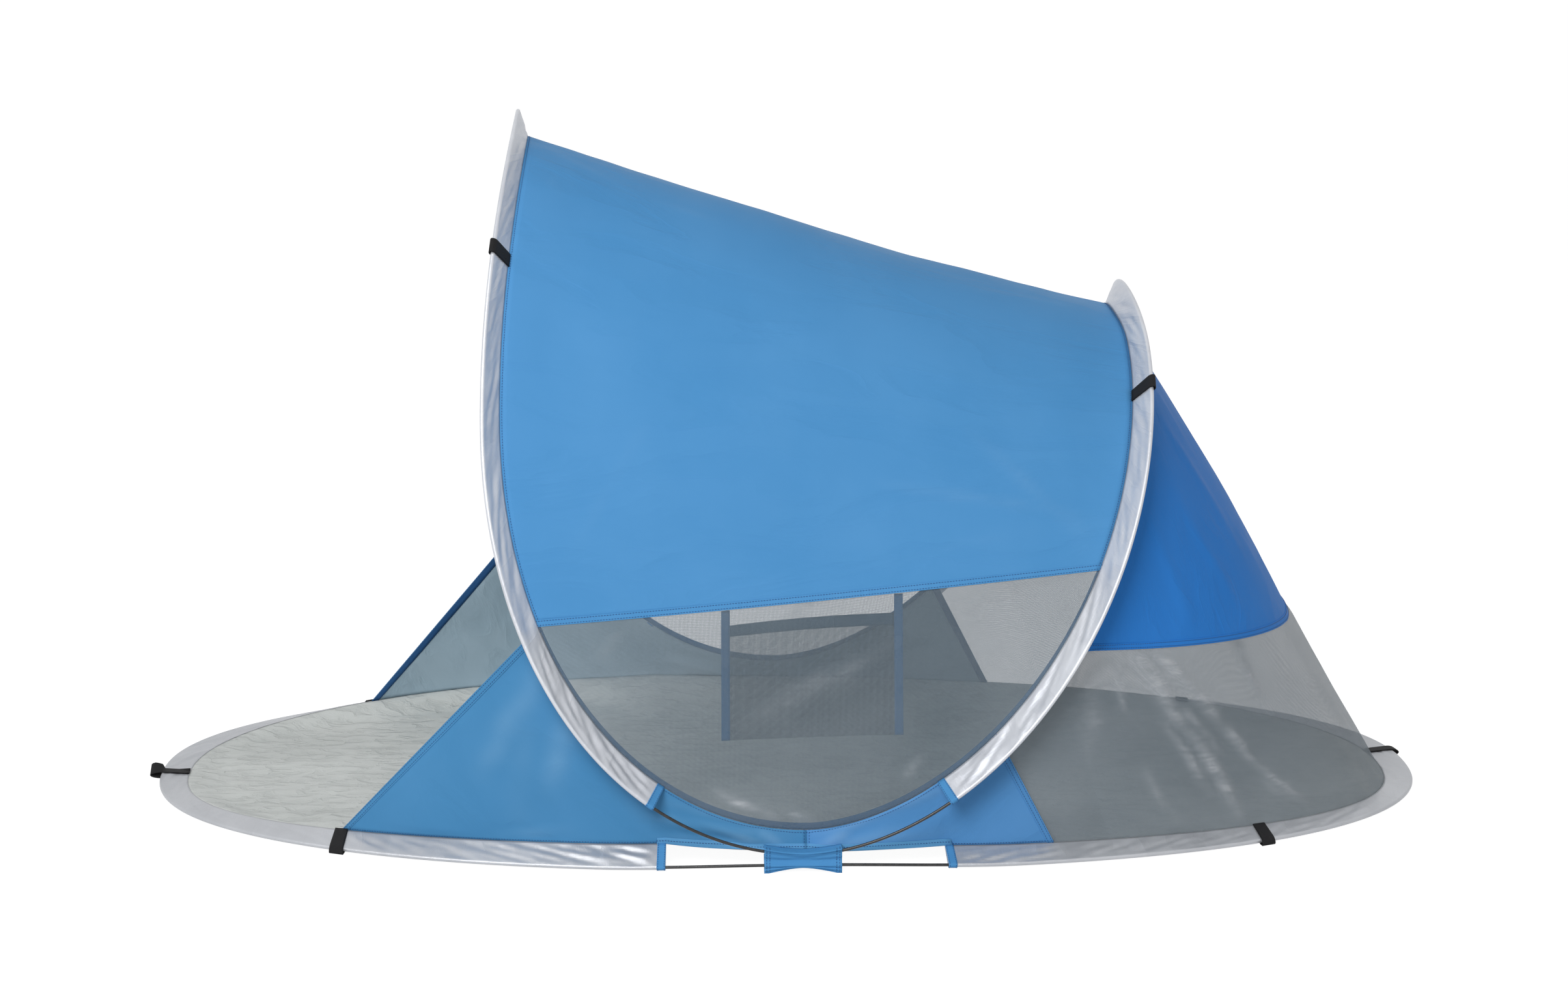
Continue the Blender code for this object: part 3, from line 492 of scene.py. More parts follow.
def cloth_noise(tree, uv, along, across, detail=3.0, distortion=0.0):
    """Cloud noise stretched over the cloth, with so many features to a metre each way."""
    turned = tree.node("ShaderNodeMapping", inputs={"Vector": uv, "Scale": (along, across, 1.0)})
    return tree.node("ShaderNodeTexNoise", inputs={"Vector": turned, "Scale": 1.0, "Detail": detail,
                                                   "Distortion": distortion})


def painted_glint(tree):
    """How much painted highlight a place on the cloth gets, where a pulled fold would shine, from its own
    attribute.
    """
    return tree.node("ShaderNodeAttribute", {"attribute_name": "glint"}, output="Fac")


def cloth_finish(name, shade, light, roughness, creases, pitch=0.0007, metallic=0.0, specular=0.16,
                 painted_crease_shade=0.3, painted_highlight=None):
    """Woven, coated cloth: two close colours in cloudy patches, fine creases and its weave.

    The creases are given as features to a metre along and across the cloth, their depth, and how much of it
    is in sharp ridges. The share of the colour's changes that follows the creases paints shade into their
    hollows and light onto their ridges. The colour given for pulled folds is a painted highlight, laid on by
    their glint, where they would shine.
    """
    material, tree = start_material(name)
    uv = tree.node("ShaderNodeUVMap", {"uv_map": "cloth"})
    patches = between_values(cloth_noise(tree, uv, 3.0, 5.0), 0.3, 0.7)
    along, across, depth, sharp = creases
    crumple = cloth_noise(tree, uv, along, across, 4.0, 0.6)
    ridges = (1.0 - abs(crumple - 0.5) * 4.0) ** 3.0
    height = ridges * (depth * sharp) + weave(tree, uv, pitch) * (pitch * 0.04) + crumple * depth
    # Painted shade and light: the colour runs darker in the creases' hollows and lighter on their ridges.
    colour = mixed(patches * (1.0 - painted_crease_shade) + between_values(crumple, 0.36, 0.64) * painted_crease_shade, shade, light)
    # Painted highlight: pulled folds turn towards a paler colour by their glint.
    if painted_highlight:
        colour = mixed(painted_glint(tree) * 0.5, colour, painted_highlight)
    finish_material(tree, {
        "Base Color": colour, "Roughness": between_values(crumple, 0.2, 0.8, roughness - 0.05, roughness + 0.06),
        "Metallic": metallic, "Specular IOR Level": specular}, height)
    return material


def lengths_along(line):
    found = [0.0]
    for a, b in zip(line, line[1:]):
        found.append(found[-1] + (b - a).length)
    return found


def cloth(name, grids, thickness, face, lining=None, outwards=True, glints=None, level=False):
    """A sheet of cloth through grids of points that meet, with a map in metres and a lining inside.

    A level sheet is mapped by its place on the ground, and any other by lengths along its rows and columns.
    """
    points, faces, flat = [], [], []
    for rows in grids:
        width, first = len(rows[0]), len(points)
        across = [lengths_along([row[c] for row in rows]) for c in range(width)]
        along = lengths_along(rows[len(rows) // 2])
        for r, row in enumerate(rows):
            points += row
            flat += [(point.x, point.y) if level else (along[c], across[c][r]) for c, point in enumerate(row)]
        faces += [(k, k + 1, k + width + 1, k + width) for r in range(len(rows) - 1)
                  for k in range(first + r * width, first + (r + 1) * width - 1)]
    mesh = bpy.data.meshes.new(name)
    mesh.from_pydata([tuple(point) for point in points], [], faces)
    layer = mesh.uv_layers.new(name="cloth")
    for loop in mesh.loops:
        layer.data[loop.index].uv = flat[loop.vertex_index]
    if glints:
        mesh.attributes.new("glint", "FLOAT", "POINT").data.foreach_set("value", glints)
    joined = bmesh.new()
    joined.from_mesh(mesh)
    bmesh.ops.remove_doubles(joined, verts=joined.verts, dist=1e-5)
    if len(grids) > 1:
        bmesh.ops.recalc_face_normals(joined, faces=joined.faces)
    joined.normal_update()
    if outwards and sum(one.normal.dot(one.calc_center_median() - TENT_MIDDLE) * one.calc_area()
                        for one in joined.faces) < 0:
        bmesh.ops.reverse_faces(joined, faces=joined.faces)
    joined.to_mesh(mesh)
    joined.free()
    mesh.shade_smooth()
    for material in (face, lining or face):
        mesh.materials.append(material)
    piece = add_object(name, mesh)
    shell = piece.modifiers.new("thickness", "SOLIDIFY")
    shell.thickness = thickness
    shell.offset = 0
    shell.material_offset = 1
    return piece


def sleeve_outline(grow=0.0, slack=0.0, flat=7, turn=9):
    """The strip's line from seam to rod and back, as pairs: towards the seam, and across the sleeve."""
    radius = SLEEVE_ROUND + grow
    line = []
    for i in range(flat):
        share = i / flat
        line.append((mix(SLEEVE_WIDTH, radius * math.cos(TURN_START), share),
                     mix(SLEEVE_EDGE + grow, radius * math.sin(TURN_START), share)))
    for i in range(turn + 1):
        angle = mix(TURN_START, math.tau - TURN_START, i / turn)
        line.append((radius * math.cos(angle) - slack * max(0.0, -math.cos(angle)), radius * math.sin(angle)))
    return line + [(u, -v) for u, v in reversed(line[:flat])]


def sleeve_wrinkle(run, u, seed, quiet):
    """How far the slack strip stands off its plane, at a run along the rod and a distance from it.

    Long folds run aslant along the strip, and short pleats cross it near its cut ends.
    """
    share = max(0.0, min(1.0, u / SLEEVE_WIDTH))
    held = math.sin(math.pi * share) ** 0.6
    near_end = math.exp(-min(abs(run - end) for end in quiet["ends"]) / GATHER_REACH)
    calm = min([1.0] + [abs(run - middle) / CALM_REACH for middle in quiet["bands"]])
    aslant = noise.noise(Vector((run * 13 + u * 10, u * 95 - run * 26, seed)))
    pleats = noise.noise(Vector((run * 75, u * 12, seed + 7)))
    return held * calm * ((ASLANT + MORE_ASLANT_AT_ENDS * near_end) * aslant
                          + (PLEATS + MORE_PLEATS_AT_ENDS * near_end) * pleats)


SILVER_CREASES = (9.0, 26.0, 0.00030, 1.0)
silver_cloth = cloth_finish("silver coated cloth", (0.56, 0.58, 0.63), (0.66, 0.68, 0.72), 0.34,
                            SILVER_CREASES, metallic=0.45)
# The floor loop's sleeves are the same silver cloth painted darker: painted shade.
shaded_silver_cloth = cloth_finish("silver coated cloth on the ground", (0.46, 0.475, 0.505),
                                  (0.54, 0.555, 0.585), 0.36, SILVER_CREASES, metallic=0.45)


def loop_run(stations):
    return lengths_along([one.rod for one in stations])


def run_where(stations, test):
    """The run along the near side at which a falling or rising value first passes zero."""
    runs = loop_run(stations)
    for i in range(len(stations) - 1):
        low, high = test(stations[i].rod), test(stations[i + 1].rod)
        if low <= 0 < high:
            return mix(runs[i], runs[i + 1], low / (low - high))


def between(stations, runs, run):
    """The place at a run along the rod."""
    i = max(0, min(len(stations) - 2, next((k for k, r in enumerate(runs) if r > run), len(runs)) - 1))
    share = (run - runs[i]) / (runs[i + 1] - runs[i])
    return Station(*(mix(a, b, share) for a, b in zip(stations[i], stations[i + 1])))


# The peg loops' distances from the waist on the floor, their heights on the arches, and their slack
FRONT_PEG_REACH, REAR_PEG_REACH, PEG_SLACK = 0.761, 0.768, 0.008
FRONT_GUY_HEIGHT, REAR_GUY_HEIGHT, GUY_SLACK = 0.976, 0.747, 0.003
# Each half loop: its stations, its body, a value that passes zero at its peg loop, and that loop's slack
HALVES = {
    "floor_front": (front_floor, "front_half", lambda at: -at.x - FRONT_PEG_REACH, PEG_SLACK),
    "floor_rear": (rear_floor, "rear_half", lambda at: at.x - REAR_PEG_REACH, PEG_SLACK),
    "arch_front": (front_arch, "front_half", lambda at: at.z - FRONT_GUY_HEIGHT, GUY_SLACK),
    "arch_rear": (rear_arch, "rear_half", lambda at: at.z - REAR_GUY_HEIGHT, GUY_SLACK),
}
CUFF_WIDTH = 0.014
sleeves = {}
for seed, (name, (near, body, at_loop, slack)) in enumerate(HALVES.items()):
    path = whole(near)
    runs = loop_run(path)
    loop_at = run_where(near, at_loop)
    first, last = CUFF_START, len(path) - 1 - CUFF_START
    quiet = {"ends": [runs[first], runs[last]],
             "bands": [runs[first] + CUFF_WIDTH / 2, runs[last] - CUFF_WIDTH / 2, loop_at, runs[-1] - loop_at]
             + ([runs[-1] / 2] if name.startswith("floor") else [])}
    rows = []
    count = round((runs[last] - runs[first]) / SLEEVE_STEP)
    for i in range(count + 1):
        run = mix(runs[first], runs[last], i / count)
        one = between(path, runs, run)
        rows.append([one.rod + one.inward * u + one.across * (v + sleeve_wrinkle(run, u, seed * 31, quiet))
                     for u, v in sleeve_outline(flat=11)])
    face = shaded_silver_cloth if name.startswith("floor") else silver_cloth
    piece = cloth(f"{name}_silver_sleeve", [rows], CLOTH, face, outwards=False)
    fit(piece, body, "sleeve_cloth", f"{name}_sleeve")
    sleeves[name] = (piece, path, runs, loop_at)


# Sleeve cuffs
# The cut ends of every sleeve are bound with a strip of the light blue cloth, folded over from the seam, round
# the rod's tunnel and back, and stitched through.

# The light blue cloth's pulled folds are painted towards a paler blue as a highlight.
blue_cloth = cloth_finish("light blue cloth", (0.072, 0.266, 0.546), (0.086, 0.288, 0.576), 0.46,
                          (14.0, 4.0, 0.00230, 0.25), specular=0.05, painted_highlight=(0.26, 0.45, 0.68))
STRIP, BAND_STEPS = 0.0008, 8


def folded_band(name, path, runs, start, end, grow, slack, thickness, face, tail=0.0, flare=0.0, skew=0.0):
    """A strip folded over the sleeve from the seam, round the rod and back, never below the ground.

    Its ends reach past the seam by the tail, one side of its fold is lifted by the flare, and it runs aslant
    over the sleeve by the skew.
    """
    rows = []
    for i in range(BAND_STEPS + 1):
        one = between(path, runs, mix(start, end, i / BAND_STEPS))
        outline = sleeve_outline(grow, slack, 7, 11)
        if tail:
            outline = [(SLEEVE_WIDTH + tail, outline[0][1]), *outline, (SLEEVE_WIDTH + tail, outline[-1][1])]
        row = []
        for u, v in outline:
            point = one.rod + one.inward * u + one.across * v
            point += one.along * skew * u / SLEEVE_WIDTH
            if v > 0 or u < 0:
                point.z += flare * i / BAND_STEPS * mix(0.6, 1.0, eased(-u / max(slack, ROD_RADIUS)))
            point.z = max(point.z, thickness)
            row.append(point)
        rows.append(row)
    return cloth(name, [rows], thickness, face, outwards=False)


CUFF_GROW, CUFF_STITCH_GROW, CUFF_LENGTH = 0.0011, 0.0016, 0.104
cuff_stitches = {"front_half": [], "rear_half": []}
for name, (near, body, at_loop, slack) in HALVES.items():
    piece, path, runs, loop_at = sleeves[name]
    first, last = runs[CUFF_START], runs[len(path) - 1 - CUFF_START]
    bands = {"near": (first, first + CUFF_WIDTH), "far": (last - CUFF_WIDTH, last)}
    for side, (start, end) in bands.items():
        cuff = folded_band(f"{name}_binding_{side}", path, runs, start, end, CUFF_GROW, 0.0, STRIP, blue_cloth)
        fit(cuff, body, "light_blue_cloth", f"{name}_cuff_{side}")
        for k in (1, BAND_STEPS - 1):
            one = between(path, runs, mix(start, end, k / BAND_STEPS))
            cuff_stitches[body].append([one.rod + one.inward * u + one.across * v
                                        for u, v in sleeve_outline(CUFF_STITCH_GROW, 0.0, 7, 11)])


# Peg and guy loops
# Black polypropylene webbing 25 mm wide, with a ribbed weave, is folded over the sleeve and sewn into the seam.
# The loops on the floor stand out beyond the sleeve to take a peg, and those on the arches take a guy line.

webbing, tree = start_material("black webbing")
uv = tree.node("ShaderNodeUVMap", {"uv_map": "cloth"})
ribs = weave(tree, uv, 0.0026)
fuzz = cloth_noise(tree, uv, 1500.0, 1500.0)
finish_material(tree, {
    "Base Color": mixed(between_values(ribs, -0.6, 0.8), (0.004, 0.004, 0.005), (0.014, 0.014, 0.015)),
    "Roughness": between_values(fuzz, 0.2, 0.8, 0.60, 0.80), "Specular IOR Level": 0.20},
    ribs * 0.00012 + fuzz * 0.00003)

WEBBING_WIDTH, WEBBING, WEBBING_GROW, WEBBING_ROUND_SLEEVE = 0.025, 0.0016, 0.0018, 0.108
TIP_LOOP_SLACK, TIP_LOOP_FLARE, REAR_TIP_LOOP_SHIFT = 0.017, 0.012, 0.090
LOOP_SKEW, FAR_LOOP_TAIL = 0.014, 0.012
for name, (near, body, at_loop, slack) in HALVES.items():
    piece, path, runs, loop_at = sleeves[name]
    middles = {f"{name}_loop_near": loop_at, f"{name}_loop_far": runs[-1] - loop_at}
    if name.startswith("floor"):
        middles[name.replace("floor_", "") + "_tip_loop"] = runs[-1] / 2
    for node, middle in middles.items():
        out, flare = (TIP_LOOP_SLACK, TIP_LOOP_FLARE) if node == "front_tip_loop" else (slack, 0.0)
        tail = FAR_LOOP_TAIL if node == "floor_rear_loop_far" else 0.0
        skew = (LOOP_SKEW if node.endswith("near") else -LOOP_SKEW) if node.startswith("floor") else 0.0
        if node == "rear_tip_loop":
            middle += REAR_TIP_LOOP_SHIFT
        loop = folded_band(f"{node}_webbing", path, runs, middle - WEBBING_WIDTH / 2, middle + WEBBING_WIDTH / 2,
                           WEBBING_GROW, out, WEBBING, webbing, tail, flare, skew)
        fit(loop, body, "webbing", node)
        WEBBING_ROUND_SLEEVE + 2 * out


# Cloth panels: how they are laid
# Every panel is cut to lie between seam lines. It hangs a little slack, with soft ripples and a few pulled
# creases, and its bound or hemmed edges carry strips laid on its surface.

def surface_normals(rows):
    """Unit normals at a grid's points, away from the middle of the tent."""
    found = []
    for r, row in enumerate(rows):
        above, below = rows[max(r - 1, 0)], rows[min(r + 1, len(rows) - 1)]
        line = []
        for c in range(len(row)):
            left, right_point = row[max(c - 1, 0)], row[min(c + 1, len(row) - 1)]
            square = (right_point - left).cross(below[c] - above[c])
            if square.length < 1e-12:
                line.append(Vector((0, 0, 0)))
                continue
            square.normalize()
            line.append(square if square.dot(row[c] - TENT_MIDDLE) > 0 else -square)
        found.append(line)
    return found


# A fold is felt to so many of its widths, and fades out at its ends, and one of the full glint height gets the
# full painted highlight. Its winding and its painted glints follow noise with so many counts to a metre, which
# gets a fixed start here in place of the clock's.
FULL_GLINT_HEIGHT = 0.0034
FOLD_REACH, FOLD_ENDS = 3, (0.08, 0.92)
WINDING_COUNT, GLINT_COUNT = 11, 24
noise.seed_set(7)


def rippled(rows, ripples, folds=(), held=0.12, wander=0.0):
    """A slack grid: noise ripples and single folds, which fade to nothing along its sewn edges.

    A ripple is its height, its three counts to a metre and a seed. A fold runs between two places, given as
    shares down and along the grid, and has a width and a height. It winds by the wander. The glints are how
    much painted highlight each point gets, where the folds would shine.
    """
    normals = surface_normals(rows)
    last_row, last_column = len(rows) - 1, len(rows[0]) - 1

    def at(down, along):
        return rows[round(down * last_row)][round(along * last_column)]

    ends = [(at(*a), at(*b), width, height) for a, b, width, height in folds]
    glints, moved = [], []
    for r, row in enumerate(rows):
        line = []
        for c, point in enumerate(row):
            edge = min(r / last_row, 1 - r / last_row, c / last_column, 1 - c / last_column)
            fade = eased(edge / held)
            out = 0.0
            for height, counts, seed in ripples:
                out += height * noise.noise(Vector((point.x * counts[0], point.y * counts[1],
                                                    point.z * counts[2] + seed)))
            glint = 0.0
            found = point + noise.noise_vector(point * WINDING_COUNT) * wander
            strength = 0.80 + 0.6 * noise.noise(point * GLINT_COUNT + Vector((3, 7, 1)))
            for a, b, width, height in ends:
                run = b - a
                share = max(0.0, min(1.0, (found - a).dot(run) / run.length_squared))
                away = (found - a - run * share).length / width
                if away < FOLD_REACH:
                    peak = math.exp(-away * away) * math.sin(math.pi * mix(*FOLD_ENDS, share))
                    out += height * peak
                    glint = max(glint, min(1.0, peak * strength * height / FULL_GLINT_HEIGHT))
            line.append(point + normals[r][c] * out * fade)
            glints.append(glint * fade)
        moved.append(line)
    return moved, glints


def walk(line, distance):
    """The point at a distance along a line of points."""
    run = 0.0
    for a, b in zip(line, line[1:]):
        step = (b - a).length
        if step > 0 and run + step >= distance:
            return mix(a, b, (distance - run) / step)
        run += step
    return line[-1].copy()


def columns_of(rows):
    return [list(column) for column in zip(*rows)]


def ruled(top, bottom, steps):
    """Rows of points from one line down to another."""
    return [[mix(a, b, r / steps) for a, b in zip(top, bottom)] for r in range(steps + 1)]


def laid(lines, distances, lift):
    """Rows of points on a panel at distances in from its edge, lifted off it. Each line starts at the edge."""
    rows = [[walk(line, distance) for line in lines] for distance in distances]
    if len(rows) == 1:
        doubled = [rows[0], [walk(line, distances[0] + 0.002) for line in lines]]
        normals = surface_normals(doubled)[:1]
    else:
        normals = surface_normals(rows)
    return [[point + normal * lift for point, normal in zip(row, line)] for row, line in zip(rows, normals)]


def area_of(rows):
    total = 0.0
    for above, below in zip(rows, rows[1:]):
        for a, b, c, d in zip(above, above[1:], below[1:], below):
            total += ((b - a).cross(c - a).length + (c - a).cross(d - a).length) / 2
    return total


# Painted shade and light: the lining runs darker in its creases' hollows and lighter on their ridges.
grey_lining = cloth_finish("grey coated lining", (0.305, 0.415, 0.490), (0.375, 0.490, 0.570), 0.50,
                           (7.0, 15.0, 0.00300, 0.25), painted_crease_shade=0.5)
stitch_lines = {"front_half": [], "rear_half": [], "fold": []}
HEM, HEM_STITCH, SEAM_STITCH = 0.012, 0.0025, 0.004
ON_HEM, ON_CLOTH = 0.0015, 0.0006


def stitch(body, lines, lift, *distances):
    """Lines of stitches on a panel, at distances in from its edge."""
    for distance in distances:
        stitch_lines[body] += laid(lines, [distance], lift)


def hem_strip(name, lines, face, lining=None, inner=(0.005,)):
    """A hem turned up along a panel's edge, laid on its surface."""
    return cloth(name, [laid(lines, [0.0, 0.0005, *inner, HEM - 0.0005, HEM], STRIP)], STRIP, face, lining)


# Roof
# One piece of light blue polyester, coated grey inside, stretched as a saddle between the two arches. Its lower
# edges are turned up in a double-stitched hem from arch to arch, above the mesh windows.

ROOF_STEPS = 80
ROOF_SAG, HEM_SAG = 0.012, 0.004
WING_END = sum(FRONT_ARCH_STEPS[:3])
ROOF_START = sum(REAR_ARCH_STEPS[:5])

front_whole, rear_whole = whole(front_arch), whole(rear_arch)
front_seam = [one.seam for one in front_whole[WING_END:len(front_whole) - WING_END]]
rear_seam = [one.seam for one in rear_whole[ROOF_START:len(rear_whole) - ROOF_START]]
roof_rows = []
for r in range(ROOF_STEPS + 1):
    share = r / ROOF_STEPS
    row = []
    for c, (a, b) in enumerate(zip(front_seam, rear_seam)):
        across = math.sin(math.pi * c / (len(front_seam) - 1))
        row.append(mix(a, b, share) - Vector((0, 0, 4 * share * (1 - share) * mix(HEM_SAG, ROOF_SAG, across))))
    roof_rows.append(row)
roof_area = area_of(roof_rows)
ROOF_RIPPLES = [(0.006, (2.2, 1.4, 3.0), 4), (0.0018, (7, 5, 12), 9), (0.0007, (20, 12, 34), 2)]
ROOF_FOLDS = [
    ((0.017, 0.475), (0.133, 0.425), 0.008, 0.0008), ((0.033, 0.40), (0.067, 0.362), 0.008, 0.0008),
    ((0.04, 0.02), (0.22, 0.14), 0.010, 0.0005), ((0.96, 0.03), (0.74, 0.16), 0.010, 0.0007),
    ((0.97, 0.06), (0.60, 0.10), 0.009, 0.0007), ((0.50, 0.02), (0.86, 0.05), 0.008, 0.0007),
    ((0.217, 0.406), (0.317, 0.40), 0.010, 0.0006), ((0.75, 0.412), (0.933, 0.438), 0.010, 0.0006),
    ((0.30, 0.03), (0.48, 0.012), 0.006, 0.0006), ((0.88, 0.08), (0.98, 0.04), 0.010, 0.0006)]
roof_rows, roof_glints = rippled(roof_rows, ROOF_RIPPLES, ROOF_FOLDS, 0.10, 0.006)
roof = cloth("roof", [roof_rows], CLOTH, blue_cloth, grey_lining, glints=roof_glints)
fit(roof, "fold", "light_blue_cloth", "roof_panel")

for side, lines in (("near", roof_rows), ("far", [row[::-1] for row in roof_rows])):
    hem = hem_strip(f"roof_hem_{side}", lines, blue_cloth, grey_lining, (0.004, 0.008))
    fit(hem, "fold", "light_blue_cloth")
    stitch("fold", lines, ON_HEM, HEM_STITCH, HEM - HEM_STITCH)
for rows, body in ((columns_of(roof_rows), "front_half"), (columns_of(roof_rows[::-1]), "rear_half")):
    stitch(body, rows, ON_CLOTH, SEAM_STITCH)


# Mesh side windows
# Fine grey netting between the roof's hem and the arches, down to the waist. Its curved lower edge is bound
# with dark blue tape on the inside. It hangs slack, and pale streaks of painted highlight lie along its folds,
# where pulled threads would catch the light.

NET = 0.0005
# The pale colour painted on the netting's folds as a highlight.
PAINTED_STREAK_HIGHLIGHT = (0.66, 0.69, 0.73)


def net_finish(name, shade, light, pitch, holes, threads):
    """See-through netting. Holes and threads are how much the cloth covers there, from 0 to 1."""
    material, tree = start_material(name)
    uv = tree.node("ShaderNodeUVMap", {"uv_map": "cloth"})
    warp, weft = (abs(wave) for wave in waves(tree, uv, math.pi / pitch))
    net = 1.0 - between_values(warp.at_most(weft), 0.22, 0.55)
    clouds = cloth_noise(tree, uv, 4.0, 7.0)
    threaded = cloth_noise(tree, uv, 20.0, 100.0, 3.0, 1.0)
    # Painted highlight: pale streaks along the folds, where the glint is, which also cover a little more.
    streak = painted_glint(tree) * between_values(threaded, 0.30, 0.75, 0.35, 1.0)
    cover = net * (threads - holes) + holes + streak * 0.26 + (clouds - 0.5) * 0.10
    base = mixed(between_values(clouds, 0.3, 0.7), shade, light)
    finish_material(tree, {
        "Base Color": mixed((streak * 0.85).at_most(1.0), base, PAINTED_STREAK_HIGHLIGHT), "Alpha": cover.at_most(1.0),
        "Roughness": between_values(clouds, 0.2, 0.8, 0.50, 0.62), "Specular IOR Level": 0.25},
        net * (pitch * 0.12))
    return material


def tape_finish(name, shade, light):
    """Dull tape, more closely woven than the cloth."""
    return cloth_finish(name, shade, light, 0.60, (60.0, 120.0, 0.00008, 1.0), pitch=0.0010)


grey_net = net_finish("grey netting", (0.236, 0.296, 0.347), (0.281, 0.341, 0.392), 0.0012, 0.13, 0.51)
window_tape = tape_finish("blue window tape", (0.003, 0.085, 0.225), (0.008, 0.105, 0.265))
WINDOW_STEPS = 60
lower_line = list(reversed(front_arch[:WING_END + 1])) + rear_arch[1:ROOF_START + 1]
low_line = [one.seam for one in lower_line]
hem_line = []
for low in low_line:
    share = (low.x - low_line[0].x) / (low_line[-1].x - low_line[0].x)
    high = mix(low_line[0], low_line[-1], share)
    hem_line.append(Vector((low.x, high.y, high.z - 4 * share * (1 - share) * HEM_SAG)))
window_rows = ruled(hem_line, low_line, WINDOW_STEPS)
window_area = area_of(window_rows)
WINDOW_RIPPLES = [(0.004, (3, 3, 5), 21), (0.0010, (11, 9, 16), 5)]
WINDOW_FOLDS = {
    "near": [((0.55, 0.441), (0.233, 0.654), 0.014, 0.0014), ((0.867, 0.412), (0.967, 0.485), 0.008, 0.0040),
             ((0.90, 0.669), (0.833, 0.691), 0.007, 0.0026), ((0.93, 0.50), (0.99, 0.56), 0.008, 0.0030),
             ((0.10, 0.25), (0.30, 0.20), 0.010, 0.0016)],
    "far": [((0.20, 0.30), (0.70, 0.42), 0.016, 0.0024), ((0.95, 0.52), (0.60, 0.62), 0.014, 0.0024)],
}
WINDOW_TAPE_OFF = -0.0016


def on_side(rows, side):
    """Rows of the near side as they are, or mirrored to the far side."""
    return rows if side == "near" else [[mirrored(point) for point in row] for row in rows]


windows = {}
for side, folds in WINDOW_FOLDS.items():
    rows, glints = rippled(on_side(window_rows, side), WINDOW_RIPPLES, folds, 0.08, 0.008)
    windows[side] = cloth(f"{side}_window", [rows], NET, grey_net, glints=glints)
    fit(windows[side], "fold", "grey_mesh", f"window_{side}")
    strip = laid(columns_of(rows[::-1]), [0.0005, 0.004, 0.008, 0.0115], WINDOW_TAPE_OFF)
    binding = cloth(f"{side}_window_tape", [strip], STRIP, window_tape)
    fit(binding, "fold", "navy_tape", f"window_binding_{side}")


# Side panels at the ground
# Light blue wings run from the waist to the porch and meet a short flap that runs back to the rear wall, at
# a double-stitched seam over the waist. Their free edges are bound in dark blue on the inside.

PANEL_CREASES = (6.0, 12.0, 0.00160, 0.25)
navy_tape = tape_finish("navy binding tape", (0.022, 0.085, 0.220), (0.030, 0.105, 0.260))
# The wings are the light blue cloth painted darker and a little greener: painted shade. Their pulled folds get a
# painted highlight.
shaded_wing_cloth = cloth_finish("light blue cloth of the wings", (0.062, 0.232, 0.452), (0.073, 0.251, 0.482), 0.46,
                          PANEL_CREASES, specular=0.05, painted_highlight=(0.22, 0.42, 0.64))
# The flaps are the light blue cloth painted lighter and more violet: painted light. Their pulled folds get a
# painted highlight.
lit_flap_cloth = cloth_finish("light blue cloth of the flaps", (0.086, 0.270, 0.565), (0.102, 0.293, 0.600), 0.46,
                          PANEL_CREASES, specular=0.05, painted_highlight=(0.26, 0.45, 0.68))
# The band at the foot is the light blue cloth painted lighter where it tilts towards the lamp: painted light.
lit_foot_cloth = cloth_finish("light blue hem band", (0.105, 0.330, 0.610), (0.125, 0.355, 0.640), 0.46,
                          (40.0, 14.0, 0.00040, 0.50), specular=0.10)
FLAP_END = sum(REAR_ARCH_STEPS[:3])
# Each panel: the loops between which it hangs and its last station there, steps down, ripples, folds, other
# nodes that it stands for, face and body
PANELS = {
    "wing": (front_arch, front_floor, WING_END, 40, [(0.009, (4, 4, 4), 31), (0.0022, (12, 12, 14), 8)],
             [((0.04, 0.90), (0.55, 0.78), 0.020, 0.0022), ((0.04, 0.74), (0.50, 0.62), 0.022, 0.0020),
              ((0.15, 0.92), (0.85, 0.60), 0.026, 0.0008), ((0.10, 0.55), (0.80, 0.35), 0.022, 0.0006),
              ((0.30, 0.02), (0.22, 0.34), 0.008, 0.0014), ((0.55, 0.02), (0.50, 0.40), 0.009, 0.0014),
              ((0.80, 0.02), (0.82, 0.36), 0.008, 0.0012), ((0.86, 0.50), (0.95, 0.62), 0.010, 0.0010),
              ((0.95, 0.05), (0.10, 0.14), 0.010, 0.0030), ((0.95, 0.08), (0.35, 0.26), 0.009, 0.0026),
              ((0.95, 0.10), (0.70, 0.32), 0.010, -0.0060)],
             ["waist_gusset"], shaded_wing_cloth, "front_half"),
    "rear_flap": (rear_arch, rear_floor, FLAP_END, 28, [(0.003, (5, 5, 5), 11), (0.0010, (16, 16, 18), 3)],
                  [((0.35, 0.02), (0.16, 0.70), 0.009, 0.0022), ((0.65, 0.02), (0.75, 0.65), 0.009, 0.0008),
                   ((0.95, 0.06), (0.10, 0.22), 0.010, 0.0032), ((0.95, 0.10), (0.50, 0.42), 0.010, 0.0018)],
                  [], lit_flap_cloth, "rear_half"),
}
BINDING_OFF, FOOT_OFF = -0.0010, 0.0010
FOOT_COLUMNS, FOOT_STITCH, ON_FOOT = CUFF_START + 2, 0.0070, 0.0017
